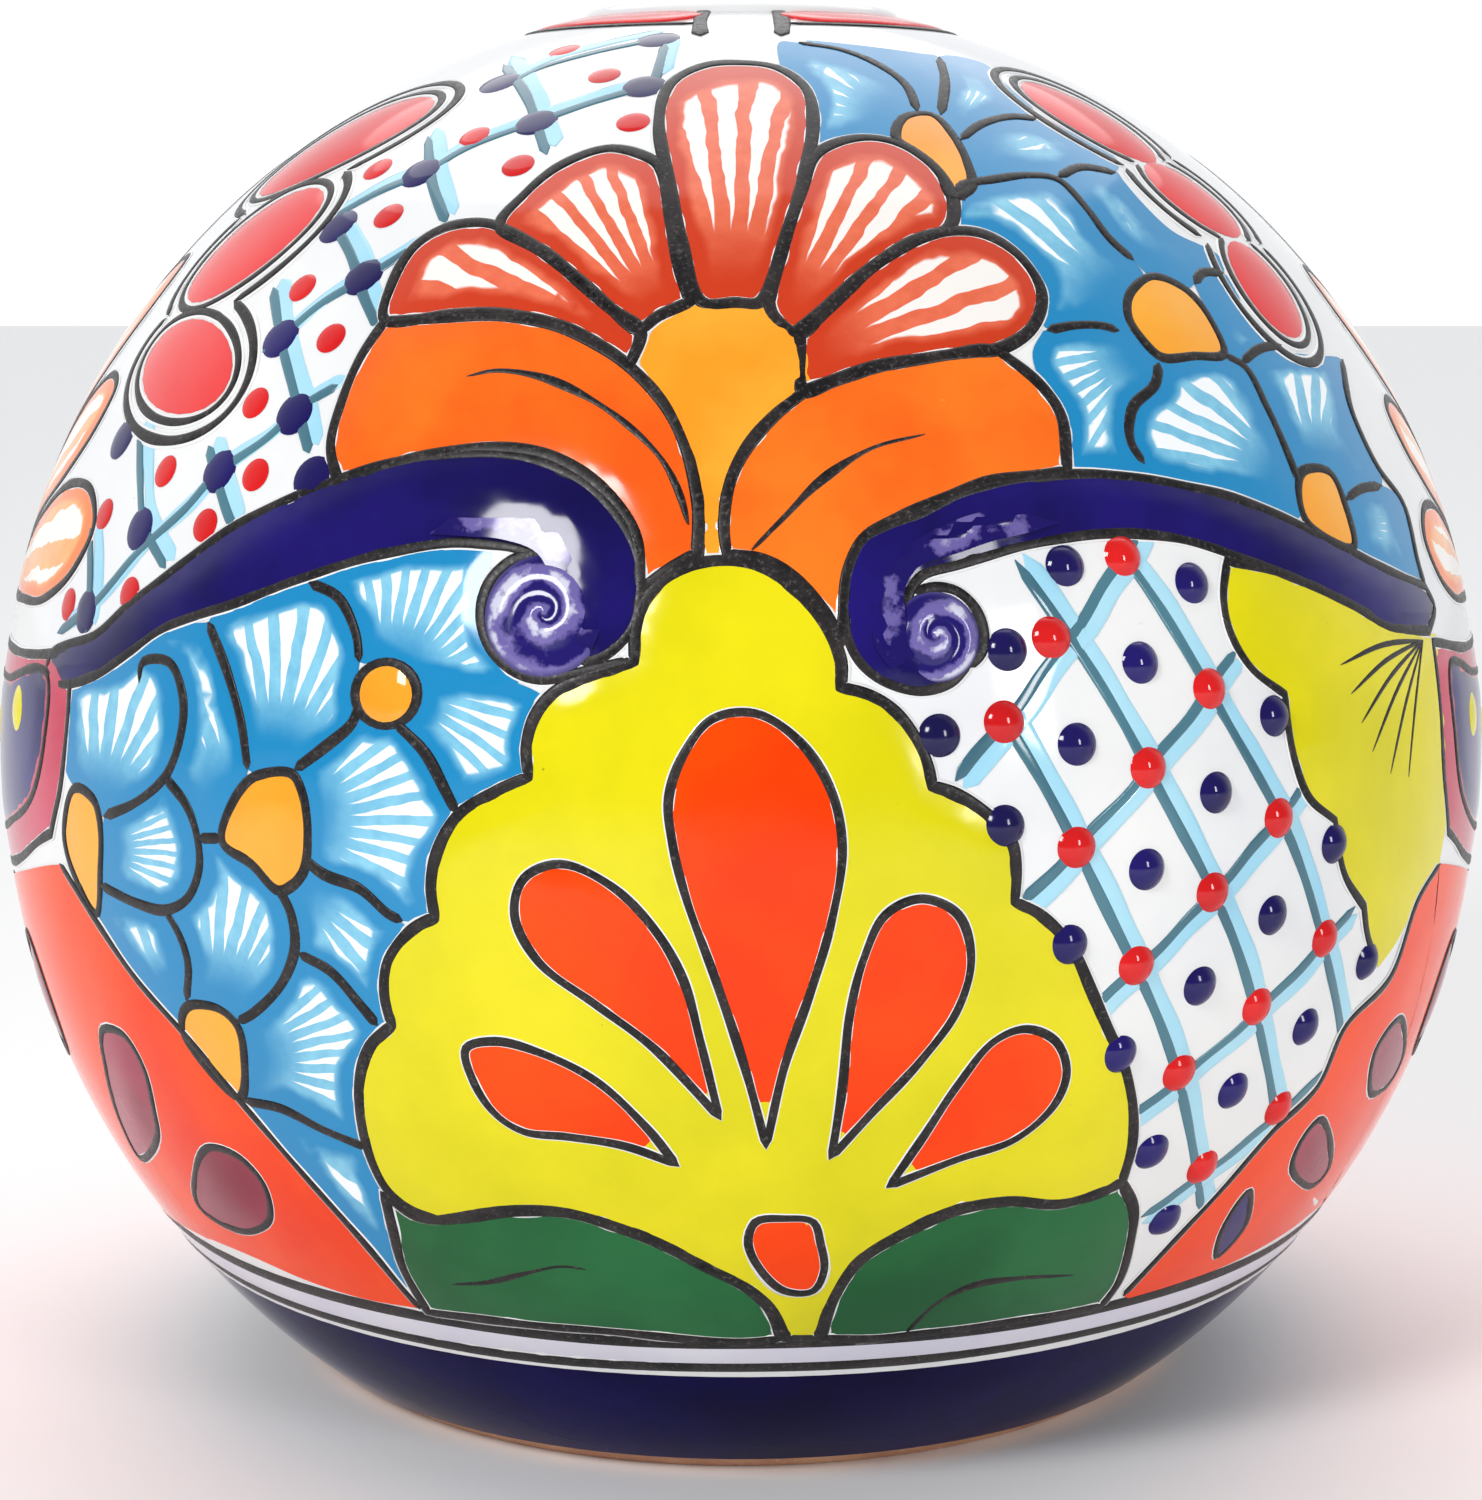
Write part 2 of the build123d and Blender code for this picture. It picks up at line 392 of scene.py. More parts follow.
class Coat:
    """Glaze laid on the body in many separate places, gathered into one piece."""

    def __init__(self, name, finish, turn=0.0):
        self.name, self.finish, self.turn = name, finish, turn
        self.verts, self.faces = [], []
        self.rim, self.reach, self.fan = [], [], []
        self.count = 0

    def add(self, places, faces, rim, reach, fan):
        self.verts.append(places)
        self.faces += [tuple(index + self.count for index in face) for face in faces]
        self.rim.append(rim)
        self.reach.append(reach)
        self.fan.append(fan)
        self.count += len(places)

    def flood(self, outline, root=None, rise=0.22, grain=2.2, bed=0.07):
        """Fills an outline with glaze that swells up from its edge, in millimetres above its bed."""
        even_rows = 0.87  # of the grain, so that the triangles between the points are even
        thin_edge, swell_width = 0.9, 2.4  # in units of the stencil
        low, high = outline.min(axis=0), outline.max(axis=0)
        columns = np.arange(low[0], high[0], grain)
        rows = np.arange(low[1], high[1], grain * even_rows)
        grid = np.array([(x + (j % 2) * grain / 2, y) for j, y in enumerate(rows) for x in columns])
        grid = grid[within(grid, outline)] if len(grid) else grid.reshape(0, 2)
        if len(grid):
            grid = grid[gap_to(grid, outline) > grain * 0.42]
        flat = np.vstack((outline, grid))
        count = len(outline)
        edges = [(index, (index + 1) % count) for index in range(count)]
        points, _, faces, *_ = delaunay_2d_cdt([Vector(p) for p in flat], edges, [], 1, 1e-4)
        flat = np.array([tuple(p) for p in points])
        places, outward = on_the_body(flat, self.turn)
        rim = gap_to(flat, outline)
        lift = (bed + rise * np.clip((rim - thin_edge) / swell_width, 0.0, 1.0) ** 0.7) * millimetre
        heart = np.array(root if root is not None else flat.mean(axis=0), dtype=float)
        arm = flat - heart
        far = np.hypot(arm[:, 0], arm[:, 1])
        ahead = arm.mean(axis=0)
        fan = np.arctan2(arm[:, 1], arm[:, 0]) - math.atan2(ahead[1], ahead[0])
        fan = (fan + math.pi) % (2.0 * math.pi) - math.pi
        self.add(
            places + outward * lift[:, None],
            [tuple(face) for face in faces],
            rim,
            far / max(far.max(), 1e-6),
            fan,
        )

    def ribbon(self, places, outward, width, closed=False, taper=0.0, rise=0.16, wander=0.14):
        """A brush line of a width in millimetres that swells and thins a little along its run."""
        count = len(places)
        if closed:
            ahead = np.roll(places, -1, axis=0) - np.roll(places, 1, axis=0)
        else:
            ahead = np.gradient(places, axis=0)
        ahead /= np.maximum(np.linalg.norm(ahead, axis=1, keepdims=True), 1e-12)
        side = np.cross(outward, ahead)
        step = np.linalg.norm(np.diff(places, axis=0, prepend=places[:1]), axis=1)
        run = np.cumsum(step) * 1000.0
        phase = float(np.sum(places[0])) * 170.0  # every stroke starts its swelling somewhere else
        swell = 1.0 + wander * (0.6 * np.sin(run / 5.3 + phase) + 0.4 * np.sin(run / 2.1 + 2.3 * phase))
        half = 0.5 * width * swell * millimetre
        if not closed:
            from_end = np.minimum(run, run[-1] - run)
            half *= np.clip((from_end / max(taper, 0.6 * width)), 0.0, 1.0) ** 0.5 * 0.9 + 0.1
        edge = rise * 0.6
        sunk = -0.02  # the foot of the line's edge lies just under the glaze
        profile = ((-1.05, sunk), (-1.0, edge), (-0.6, rise), (0.6, rise), (1.0, edge), (1.05, sunk))
        rows = []
        for across, up in profile:
            rows.append(places + side * (half * across)[:, None] + outward * up * millimetre)
        wide = len(profile)
        faces = []
        for index in range(count if closed else count - 1):
            here, there = index * wide, (index + 1) % count * wide
            faces += [(here + k, there + k, there + k + 1, here + k + 1) for k in range(wide - 1)]
        across = np.tile([1.0 - min(1.0, abs(p[0])) for p in profile], count)
        along = np.repeat(run, wide)
        self.add(np.stack(rows, axis=1).reshape(-1, 3), faces, across, along / max(run[-1], 1e-6), along)

    def line(self, points, width, closed=False, taper=0.0, rise=0.16, wander=0.14):
        """A brush line through points of the stencil."""
        self.ribbon(*on_the_body(points, self.turn), width, closed, taper, rise, wander)

    def belt(self, low, high, rise=0.15, wander=0.25):
        """A band all round the vase between two heights in millimetres, as wheeled on with a brush."""
        turns = np.linspace(0.0, 2.0 * math.pi, 240, endpoint=False)
        rows = max(2, math.ceil((high - low) / 1.2))
        places, rims = [], []
        for row in range(rows + 1):
            share = row / rows
            sway = wander * np.sin(3.0 * turns + low) + 0.5 * wander * np.sin(11.0 * turns + high)
            height = (low + (high - low) * share + sway) * millimetre - belly_height
            arc = lower_arc if height.mean() < 0.0 else belly_radius
            around = np.sqrt(arc**2 - height**2) - (arc - belly_radius)
            ring = np.column_stack((around * np.sin(turns), -around * np.cos(turns), height + belly_height))
            _, outward = off_the_glaze(ring)
            swell = -0.02 if row in (0, rows) else rise
            places.append(ring + outward * swell * millimetre)
            rims.append(np.full(len(turns), min(share, 1.0 - share) * (high - low)))
        count = len(turns)
        faces = []
        for row in range(rows):
            here, there = row * count, (row + 1) * count
            for k in range(count):
                after = (k + 1) % count
                faces.append((here + k, here + after, there + after, there + k))
        filler = np.zeros(count * (rows + 1))
        self.add(np.vstack(places), faces, np.concatenate(rims), filler, filler)

    def blob(self, heart, radius, rise=0.5, stretch=1.0, along=(0.0, 0.0, 1.0)):
        """A round or oval drop of glaze about a place on the body, radius in millimetres."""
        sides = 24
        shares = (0.0, 0.2, 0.42, 0.62, 0.8, 0.93, 1.0)
        verts, rim = [], []
        for share in shares:
            ring, outward = hoop(heart, radius * share, stretch, sides, along)
            lift = (0.03 + rise * (1.0 - share**3)) * millimetre
            verts.append((ring + outward * lift)[: 1 if share == 0.0 else sides])
            rim += [radius * (1.0 - share)] * len(verts[-1])
        faces = [(0, 1 + k, 1 + (k + 1) % sides) for k in range(sides)]
        for row in range(len(shares) - 2):
            here, there = 1 + row * sides, 1 + (row + 1) * sides
            for k in range(sides):
                after = (k + 1) % sides
                faces.append((here + k, there + k, there + after, here + after))
        count = len(rim)
        self.add(np.vstack(verts), faces, np.array(rim), np.zeros(count), np.zeros(count))

    def dot(self, middle, radius, rise=0.5, stretch=1.0):
        """A drop of glaze about a point of the stencil."""
        self.blob(on_the_body([middle], self.turn)[0][0], radius, rise, stretch)

    def finish_piece(self):
        """Makes the mesh, gives it its glaze and sets it on the vase."""
        mesh = bpy.data.meshes.new(self.name)
        mesh.from_pydata([tuple(p) for p in np.vstack(self.verts)], [], self.faces)
        for key, values in (("rim", self.rim), ("reach", self.reach), ("fan", self.fan)):
            layer = mesh.attributes.new(key, "FLOAT", "POINT")
            layer.data.foreach_set("value", np.concatenate(values).astype(np.float32))
        piece = bpy.data.objects.new(self.name, mesh)
        bpy.context.collection.objects.link(piece)
        bpy.ops.object.select_all(action="DESELECT")
        bpy.context.view_layer.objects.active = piece
        piece.select_set(True)
        places = np.empty(len(mesh.vertices) * 3, dtype=np.float32)
        mesh.vertices.foreach_get("co", places)
        centres = np.array([tuple(polygon.center) for polygon in mesh.polygons])
        normals = np.array([tuple(polygon.normal) for polygon in mesh.polygons])
        _, outward = off_the_glaze(centres)
        inward = np.nonzero((normals * outward).sum(axis=1) < 0.0)[0]
        for index in inward:
            mesh.polygons[int(index)].flip()
        bpy.ops.object.shade_smooth()
        mesh.materials.append(self.finish)
        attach(piece, "root")
        piece.select_set(False)
        return piece


def flooded(name, finish, turn, outlines, **how):
    """One piece of glaze that fills several outlines."""
    coat = Coat(name, finish, turn)
    for outline in outlines:
        coat.flood(outline, **how)
    coat.finish_piece()


def stroked(name, finish, turn, runs, width, **how):
    """One piece of open brush strokes, each through its own stencil points."""
    coat = Coat(name, finish, turn)
    for run in runs:
        coat.line(brush(run), width, **how)
    coat.finish_piece()


faces = (("front", 0.0), ("back", 180.0))


# The outlines: every field of colour is fenced with a dry dark oxide, brushed on first. The wet
# glazes stop short of it, so the white stays bare along both its sides.
def manganese():
    """The outline colour: a dry dark oxide with ragged, grainy edges."""
    finish, tree, shader, where = new_finish("manganese_outline")
    grains = noise(tree, where, 1400.0, 3.0, 0.7)
    clouds = noise(tree, where, 160.0, 3.0)
    colour = blended(tree, spread(tree, clouds, 0.35, 0.7), (0.008, 0.007, 0.008), (0.028, 0.023, 0.023))
    colour = blended(tree, spread(tree, grains, 0.56, 0.68), colour, (0.075, 0.065, 0.065))
    tree.links.new(colour, shader.inputs["Base Color"])
    tree.links.new(spread(tree, grains, 0.3, 0.7, 0.25, 0.5), shader.inputs["Roughness"])
    bumped(tree, shader, grains, 0.35, 0.0001)
    shader.inputs["Specular IOR Level"].default_value = 0.25
    return finish


outline_black = manganese()


def ink(name, turn, strokes, width=1.8, bare=2.4, bed=0.0):
    """Dark outlines, with the white glaze that the colours leave bare along both their sides."""
    dark = Coat(f"{name}_outlines", outline_black, turn)
    for points, closed in strokes:
        dark.line(points, width, closed, rise=0.24 + bed)
    dark.finish_piece()
    if bare > width:
        edges = Coat(f"{name}_white_edges", tin_white, turn)
        for points, closed in strokes:
            edges.line(points, bare, closed, rise=0.14 + bed)
        edges.finish_piece()


def shut(*outlines):
    return [(outline, True) for outline in outlines]


def open_strokes(*runs):
    return [(brush(run), False) for run in runs]


# The flower: five red petals in a fan, each flooded with brick red glaze over white streaks,
# with a yellow drop of thick glaze at its heart that runs down between the two leaves.
def brush_streaks():
    """Node group: wet brush strokes that fan out from a petal's root, from the piece's own attributes."""
    group, entry, leave = new_group("brush_streaks", ("Bare", "Wash", "Deep"), (("Colour", "Color"),))

    def read(name):
        return add_node(group, "ShaderNodeAttribute", attribute_name=name).outputs["Fac"]

    def reckoned(operation, value, other):
        made = add_node(group, "ShaderNodeMath", operation=operation)
        group.links.new(value, made.inputs[0])
        if isinstance(other, float):
            made.inputs[1].default_value = other
        else:
            group.links.new(other, made.inputs[1])
        return made.outputs["Value"]

    def times(value, factor):
        return reckoned("MULTIPLY", value, factor)

    def plus(value, other):
        return reckoned("ADD", value, other)

    rim, reach, fan = read("rim"), read("reach"), read("fan")
    where = entry.outputs["Where"]
    unsteady = spread(group, noise(group, where, 110.0, 2.0), 0.2, 0.8, -1.0, 1.0)
    fingers = add_node(group, "ShaderNodeMath", operation="SINE")
    group.links.new(plus(times(fan, 38.0), times(unsteady, 0.8)), fingers.inputs[0])
    narrowing = spread(group, reach, 0.28, 0.80, -1.15, 0.30)
    strokes = spread(group, plus(fingers.outputs["Value"], narrowing), -0.06, 0.10)
    end = plus(rim, times(unsteady, 0.7))
    bare = times(strokes, spread(group, end, 3.0, 3.5))
    inner = times(spread(group, reach, 0.16, 0.50), spread(group, end, 2.0, 3.6))
    dapple = spread(group, noise(group, where, 300.0, 3.0, 0.6), 0.3, 0.7, 0.70, 1.0)
    colour = blended(group, times(inner, dapple), entry.outputs["Deep"], entry.outputs["Wash"])
    colour = blended(group, bare, colour, entry.outputs["Bare"])
    group.links.new(colour, leave.inputs["Colour"])
    return group


streaks = brush_streaks()


def petal_glaze(name, bare, wash, deep):
    """A glaze brushed in streaks, over the same glassy surface as the others."""
    finish = glaze(name, wash, deep)
    tree, shader, where = reopened(finish)
    brushed = add_node(tree, "ShaderNodeGroup", node_tree=streaks)
    tree.links.new(where, brushed.inputs["Where"])
    for socket, colour in (("Bare", bare), ("Wash", wash), ("Deep", deep)):
        brushed.inputs[socket].default_value = (*colour, 1.0)
    tree.links.new(brushed.outputs["Colour"], shader.inputs["Base Color"])
    return finish


flower_petals = (
    (
        ((-0.5, 60.8), (-5.5, 61), (-8.3, 70), (-10.3, 79), (-11.4, 86), (-10, 91), (-5.5, 93.7),
         (0, 94.2), (5.5, 93.3), (9.2, 90.3), (10, 85.5), (8.6, 78), (6, 69.5), (2.8, 61), (-0.5, 60.8)),
        (-1, 57),
    ),
    (
        ((-7, 61), (-9, 68), (-11, 79), (-12, 80.5), (-18, 82.3), (-25, 80), (-30, 76), (-33.5, 71.5),
         (-27.5, 68), (-22, 63.5), (-18, 60), (-14.5, 57), (-11.5, 59), (-7, 61)),
        (-9, 56),
    ),
    (
        ((-15.5, 52), (-19, 54.7), (-25, 57.7), (-32, 59.2), (-40, 59.3), (-49.5, 58.5), (-48.5, 63.5),
         (-45.5, 68.5), (-41, 71.3), (-36, 72), (-33, 71.2), (-27.5, 68), (-22, 63.5), (-18, 60),
         (-14, 57), (-15.5, 52)),
        (-11, 53),
    ),
    (
        ((3.8, 61), (6, 69), (8.5, 77), (10, 81), (13, 83), (18, 83.8), (23, 82.5), (27.5, 79),
         (29.5, 75), (29, 71.5), (24, 69.3), (18, 65.5), (12, 60), (8, 56.5), (4.5, 59), (3.8, 61)),
        (4, 55),
    ),
    (
        ((8, 57), (12, 60.5), (18, 65.8), (24, 69.5), (29, 70.8), (34, 70.3), (39, 67), (41.8, 62),
         (40.5, 57.5), (36, 54.5), (28, 53.5), (20, 52), (13, 50), (8.7, 48.5), (8, 57)),
        (4, 51),
    ),
)
yellow_drop = joined(
    ((2.5, 61.3), (-2, 61.6), (-7.5, 60.6), (-11.8, 57.6), (-14, 52.5), (-10.5, 46), (-7.6, 39.5),
     (-6.2, 33), (-6, 26)),
    ((-5.8, 26), (-2.2, 26)),
    ((-2.2, 26), (-2.3, 30), (-1.5, 36), (1, 41), (4.5, 45), (9.4, 49.2), (9.8, 53), (8, 57.6),
     (2.5, 61.3)),
)
brick_red = petal_glaze("brick_red_glaze", (0.88, 0.84, 0.80), (0.80, 0.17, 0.085), (0.58, 0.042, 0.009))
egg_yellow = glaze("egg_yellow_glaze", (0.93, 0.42, 0.035), (0.88, 0.29, 0.010))
for face, turn in faces:
    petals = Coat(f"{face}_flower_petals", brick_red, turn)
    rims = []
    for points, root in flower_petals:
        outline = joined(points)
        petals.flood(outline, root, grain=1.7)
        rims.append(outline)
    petals.finish_piece()
    ink(f"{face}_flower", turn, shut(*rims), 1.95, 2.45)
    flooded(f"{face}_flower_drop", egg_yellow, turn, [yellow_drop], rise=0.35)


# The leaves: two broad orange leaves that hold the drop between them. Each has one brushed vein.
left_leaf = joined(
    ((-49.5, 58.3), (-40, 58.8), (-32, 58.8), (-25, 57.3), (-19, 54.5), (-15, 51.5), (-10.5, 46.5),
     (-7.5, 40), (-6, 33), (-6, 26)),
    ((-6, 26), (-10, 23.8), (-14, 21)),
    ((-14, 21), (-14.5, 28), (-16.5, 32), (-21, 36.5), (-27, 39.8), (-35, 40.8), (-43, 39.8), (-50, 38),
     (-56, 36)),
    ((-56, 36), (-57, 41), (-55.5, 47), (-53, 53), (-49.5, 58.3)),
)
right_leaf = joined(
    ((9.5, 49), (13, 50.2), (20, 52.4), (28, 53.5), (34.5, 54.5), (38, 52.5), (42, 49), (44.5, 45),
     (45.3, 37.5)),
    ((45.3, 37.5), (40, 36.8), (34, 36), (28, 33.5), (22, 31), (17, 28), (14.5, 22), (14.2, 17),
     (13.8, 13.5)),
    ((13.8, 13.5), (11.5, 18), (7.5, 22.5), (3, 25.2), (-2, 26)),
    ((-2, 26), (-2.4, 30), (-1.5, 36), (1, 41), (4.5, 45), (9.5, 49)),
)
leaf_veins = (
    ((-38, 50.5), (-34, 51.3), (-28, 50.5), (-22, 48), (-16, 44), (-11, 39), (-8.5, 34), (-7.3, 30)),
    ((1.5, 26.5), (6, 31), (11, 36), (18, 40.5), (25.5, 42.5)),
)
leaf_orange = glaze("leaf_orange_glaze", (0.94, 0.19, 0.012), (0.84, 0.095, 0.004), (0.95, 0.30, 0.05))
for face, turn in faces:
    flooded(f"{face}_orange_leaves", leaf_orange, turn, (left_leaf, right_leaf), rise=0.3)
    ink(f"{face}_leaf", turn, shut(left_leaf, right_leaf))
    stroked(f"{face}_leaf_veins", outline_black, turn, leaf_veins, 1.6, taper=18.0, rise=0.42, wander=0.45)


# The scrolls: two horns of thick cobalt that curl round a raised eye at their inner ends.
left_scroll = joined(
    ((-96.5, 10), (-95.5, 12.5), (-90, 14.5), (-85, 19), (-80, 22.8), (-70, 30), (-60, 34.8), (-50, 38.2),
     (-40, 39.8), (-30, 39.3), (-22, 36), (-17, 31), (-14.5, 26), (-14, 21), (-15, 16), (-18, 12.5),
     (-21, 11)),
    ((-21, 11), (-24.5, 13), (-27, 18), (-28, 25.3), (-31.5, 26.8), (-35, 27.3), (-40, 27.6), (-50, 26),
     (-60, 23), (-70, 19.3), (-80, 15.8), (-85, 12.3), (-90, 9), (-95, 8), (-96.5, 10)),
)
right_scroll = joined(
    ((31.5, 10.8), (29, 8.2), (25, 7), (20.5, 8), (17, 10.5), (15, 14), (14.3, 19), (15, 24), (17, 28),
     (20, 29.7), (25, 31.5), (30, 34), (35, 35.6), (40, 36.5), (50, 37), (60, 35.7), (70, 33.2),
     (80, 28.8), (90, 23.6), (95, 21.5)),
    ((95, 21.5), (96.3, 18.5), (95.5, 15.3)),
    ((95.5, 15.3), (90, 15.9), (85, 18.8), (80, 21.3), (70, 25.3), (60, 28.3), (50, 28.8), (40, 27.3),
     (30, 24.5), (25, 23), (23.2, 20.5), (23, 17.5), (25.5, 13.5), (31.5, 10.8)),
)
# The crescents mark where the scrolls show violet smears and a painted reflection of the lamp glare.
crescents = (
    (
        ((-43, 28.5), (-39, 31.5), (-35, 33.6), (-31, 34), (-26.5, 32.3), (-23.5, 29.3), (-22.3, 25.5),
         (-19.6, 21.5), (-19, 17), (-20.5, 12.5)),
        ((-20.5, 12.5), (-24, 15), (-25.5, 20), (-28, 25.8), (-33, 27.8), (-38, 28.2), (-43, 28.5)),
    ),
    (
        ((20.7, 9.8), (18.5, 13), (18, 16.5), (18.5, 20.5), (21.7, 25.6), (27, 29.3), (34, 31.7),
         (39, 31.3), (44, 30.1)),
        ((44, 30.1), (39.9, 28.8), (34.6, 27.5), (30.3, 26), (24.5, 24), (22.5, 20.5), (23, 16), (24, 12),
         (20.7, 9.8)),
    ),
)
eye_rims = (
    ((-28, 26.3), (-32, 25), (-35, 22), (-36.2, 17.5), (-35, 13), (-32, 10), (-28, 8.6), (-22, 9.5),
     (-15.5, 11)),
    ((31.5, 10.2), (33.4, 12.5), (33.6, 15.5), (32.5, 18.5), (30, 20.8), (27, 21.4), (24, 20.6)),
)


def rim_shifted_glaze(name, grain, low, high, shift):
    """A glaze that is coloured by its own rim value, which a noise shifts up and down."""
    finish = glaze(name, (0.1, 0.1, 0.3), (0.1, 0.1, 0.3))
    tree, shader, where = reopened(finish)
    rim = add_node(tree, "ShaderNodeAttribute", attribute_name="rim").outputs["Fac"]
    ragged = add_node(tree, "ShaderNodeMath", operation="ADD")
    tree.links.new(rim, ragged.inputs[0])
    crumbs = noise(tree, where, grain, 4.0, 0.6)
    tree.links.new(spread(tree, crumbs, low, high, -shift, shift), ragged.inputs[1])
    return finish, tree, shader, ragged.outputs["Value"]


def glare_and_violet_wash():
    """Painted highlight with real smears: cobalt thinned to violet smears that whiten into a painted
    reflection of the lamp glare on the raised scroll.
    """
    finish, tree, shader, shifted_rim = rim_shifted_glaze("glare_and_violet_wash_glaze", 190.0, 0.25, 0.75, 2.2)
    colour = blended(tree, spread(tree, shifted_rim, 0.5, 1.9), (0.009, 0.004, 0.110), (0.14, 0.11, 0.34))
    # The whitish end of this mix is painted glare, a painted highlight on the cobalt.
    colour = blended(tree, spread(tree, shifted_rim, 2.6, 4.6), colour, (0.60, 0.59, 0.74))
    tree.links.new(colour, shader.inputs["Base Color"])
    return finish


painted_glare_violet = glare_and_violet_wash()
for face, turn in faces:
    flooded(f"{face}_scrolls", cobalt, turn, (left_scroll, right_scroll), rise=0.9)
    ink(f"{face}_scroll", turn, shut(left_scroll, right_scroll) + open_strokes(*eye_rims), 1.6, 2.1)
    # Violet smears with a painted glare reflection, laid over the cobalt of the scrolls.
    glare_outlines = [joined(*crescent) for crescent in crescents]
    flooded(f"{face}_scroll_glare_washes", painted_glare_violet, turn, glare_outlines, rise=0.03, bed=0.93)


# The eyes of the scrolls: pressed domes of clay with a spiral groove, painted in cobalt that
# thins to violet and white on the raised turns.
def spiral_eye(name, node, finish, hand):
    """A dome of the node's own radius with one raised spiral on it."""
    low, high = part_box(node)
    slope = math.asin((0.5 * (low.z + high.z) - belly_height) / belly_radius)
    radius = 0.5 * (high.z - low.z) / math.cos(slope)
    box_middle = np.array((low + high) * 0.5)[None]
    gap, out = off_the_glaze(box_middle)
    out = out[0]
    heart = box_middle[0] - out * gap[0]
    level = np.cross((0.0, 0.0, 1.0), out)
    level /= np.linalg.norm(level)
    upward = np.cross(out, level)
    sides, rings = 72, 34
    windings, dome_height, ridge_height = 1.75, 1.15, 0.42  # heights in millimetres
    verts, faces, swirl = [], [], []
    for ring in range(rings + 1):
        share = ring / rings
        for k in range(sides):
            angle = 2.0 * math.pi * k / sides
            flat = (level * math.cos(angle) * hand + upward * math.sin(angle)) * radius * share
            gap, normal = off_the_glaze((heart + flat)[None])
            phase = windings * share**0.7 - k / sides
            ridge = 0.5 + 0.5 * math.cos(2.0 * math.pi * phase)
            dome = (1.0 - share**2) ** 0.7
            raised = ridge_height * ridge * min(1.0, 4.0 * (1.0 - share))
            lift = (0.04 + dome_height * dome + raised) * millimetre
            verts.append(heart + flat + normal[0] * (lift - gap[0]))
            swirl.append(ridge)
    for ring in range(rings):
        for k in range(sides):
            here, there = ring * sides, (ring + 1) * sides
            after = (k + 1) % sides
            if ring == 0:
                faces.append((0, there + k, there + after))
            else:
                faces.append((here + k, there + k, there + after, here + after))
    coat = Coat(name, finish)
    keep = [0] + list(range(sides, len(verts)))
    order = {old: new for new, old in enumerate(keep)}
    faces = [tuple(order[index] for index in face) for face in faces]
    share = np.array([index // sides / rings for index in keep])
    coat.add(np.array(verts)[keep], faces, np.array(swirl)[keep], share, np.zeros(len(keep)))
    piece = coat.finish_piece()
    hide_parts(node)


def swirl_glaze():
    """White on the ridge of the spiral, violet on its flank and cobalt in the groove."""
    finish, tree, shader, shifted_rim = rim_shifted_glaze("swirl_cobalt_glaze", 230.0, 0.2, 0.8, 0.50)
    share = add_node(tree, "ShaderNodeAttribute", attribute_name="reach").outputs["Fac"]
    colour = blended(tree, spread(tree, shifted_rim, 0.25, 0.62), (0.012, 0.006, 0.13), (0.15, 0.12, 0.36))
    colour = blended(tree, spread(tree, shifted_rim, 0.82, 1.15), colour, (0.60, 0.60, 0.74))
    colour = blended(tree, spread(tree, share, 0.86, 0.97), colour, (0.055, 0.045, 0.20))
    tree.links.new(colour, shader.inputs["Base Color"])
    return finish


swirled = swirl_glaze()
for face, turn in faces:
    spiral_eye(f"{face}_left_spiral", f"scroll_eye_{face}_left", swirled, 1.0)
    spiral_eye(f"{face}_right_spiral", f"scroll_eye_{face}_right", swirled, -1.0)


# The shield: a scalloped field of lime glaze under the scrolls, with five orange-red drops that
# spread like a palm leaf and a small square drop at its foot.
shield = joined(
    ((-14.8, 11), (-14.5, 16), (-13, 20), (-9, 23.5), (-3, 25), (3, 24), (8, 20.5), (12, 15.5),
     (13.8, 11), (13.8, 7.4)),
    ((13.8, 7.4), (18, 6.3), (21.5, 4), (24.5, 0), (26, -3.5), (26.5, -6.3)),
    ((26.5, -6.3), (30, -7.5), (34.5, -10.5), (37.5, -14), (38.2, -18), (38, -22.3)),
    ((38, -22.3), (42, -24.5), (46, -29), (48.5, -34.5), (51.2, -40.5)),
    ((51.2, -40.5), (53, -44.5), (54.3, -50), (54.3, -56), (53, -61)),
    ((53, -61), (50, -62.8), (44, -64.2), (37, -63.8), (30, -65), (22, -68.5), (16, -72.5), (13, -77),
     (10.7, -83)),
    ((10.7, -83), (6.3, -83)),
    ((6.3, -83), (4, -78.5), (1, -76), (-5, -73), (-10, -70.3), (-17, -67.5), (-24, -65.5), (-31, -65),
     (-42, -66.5)),
    ((-42, -66.5), (-46, -65), (-49, -62.5), (-51, -59), (-52.5, -54), (-53, -48), (-51.5, -42.5),
     (-48.5, -39.5)),
    ((-48.5, -39.5), (-49.5, -35), (-49, -30.5), (-46, -26.5), (-42.5, -24.5)),
    ((-42.5, -24.5), (-43, -20), (-42, -15), (-39, -10), (-34, -7), (-29.5, -5)),
    ((-29.5, -5), (-29.8, -1), (-28.5, 3.5), (-25.5, 7), (-20, 9.3), (-14.8, 11)),
)
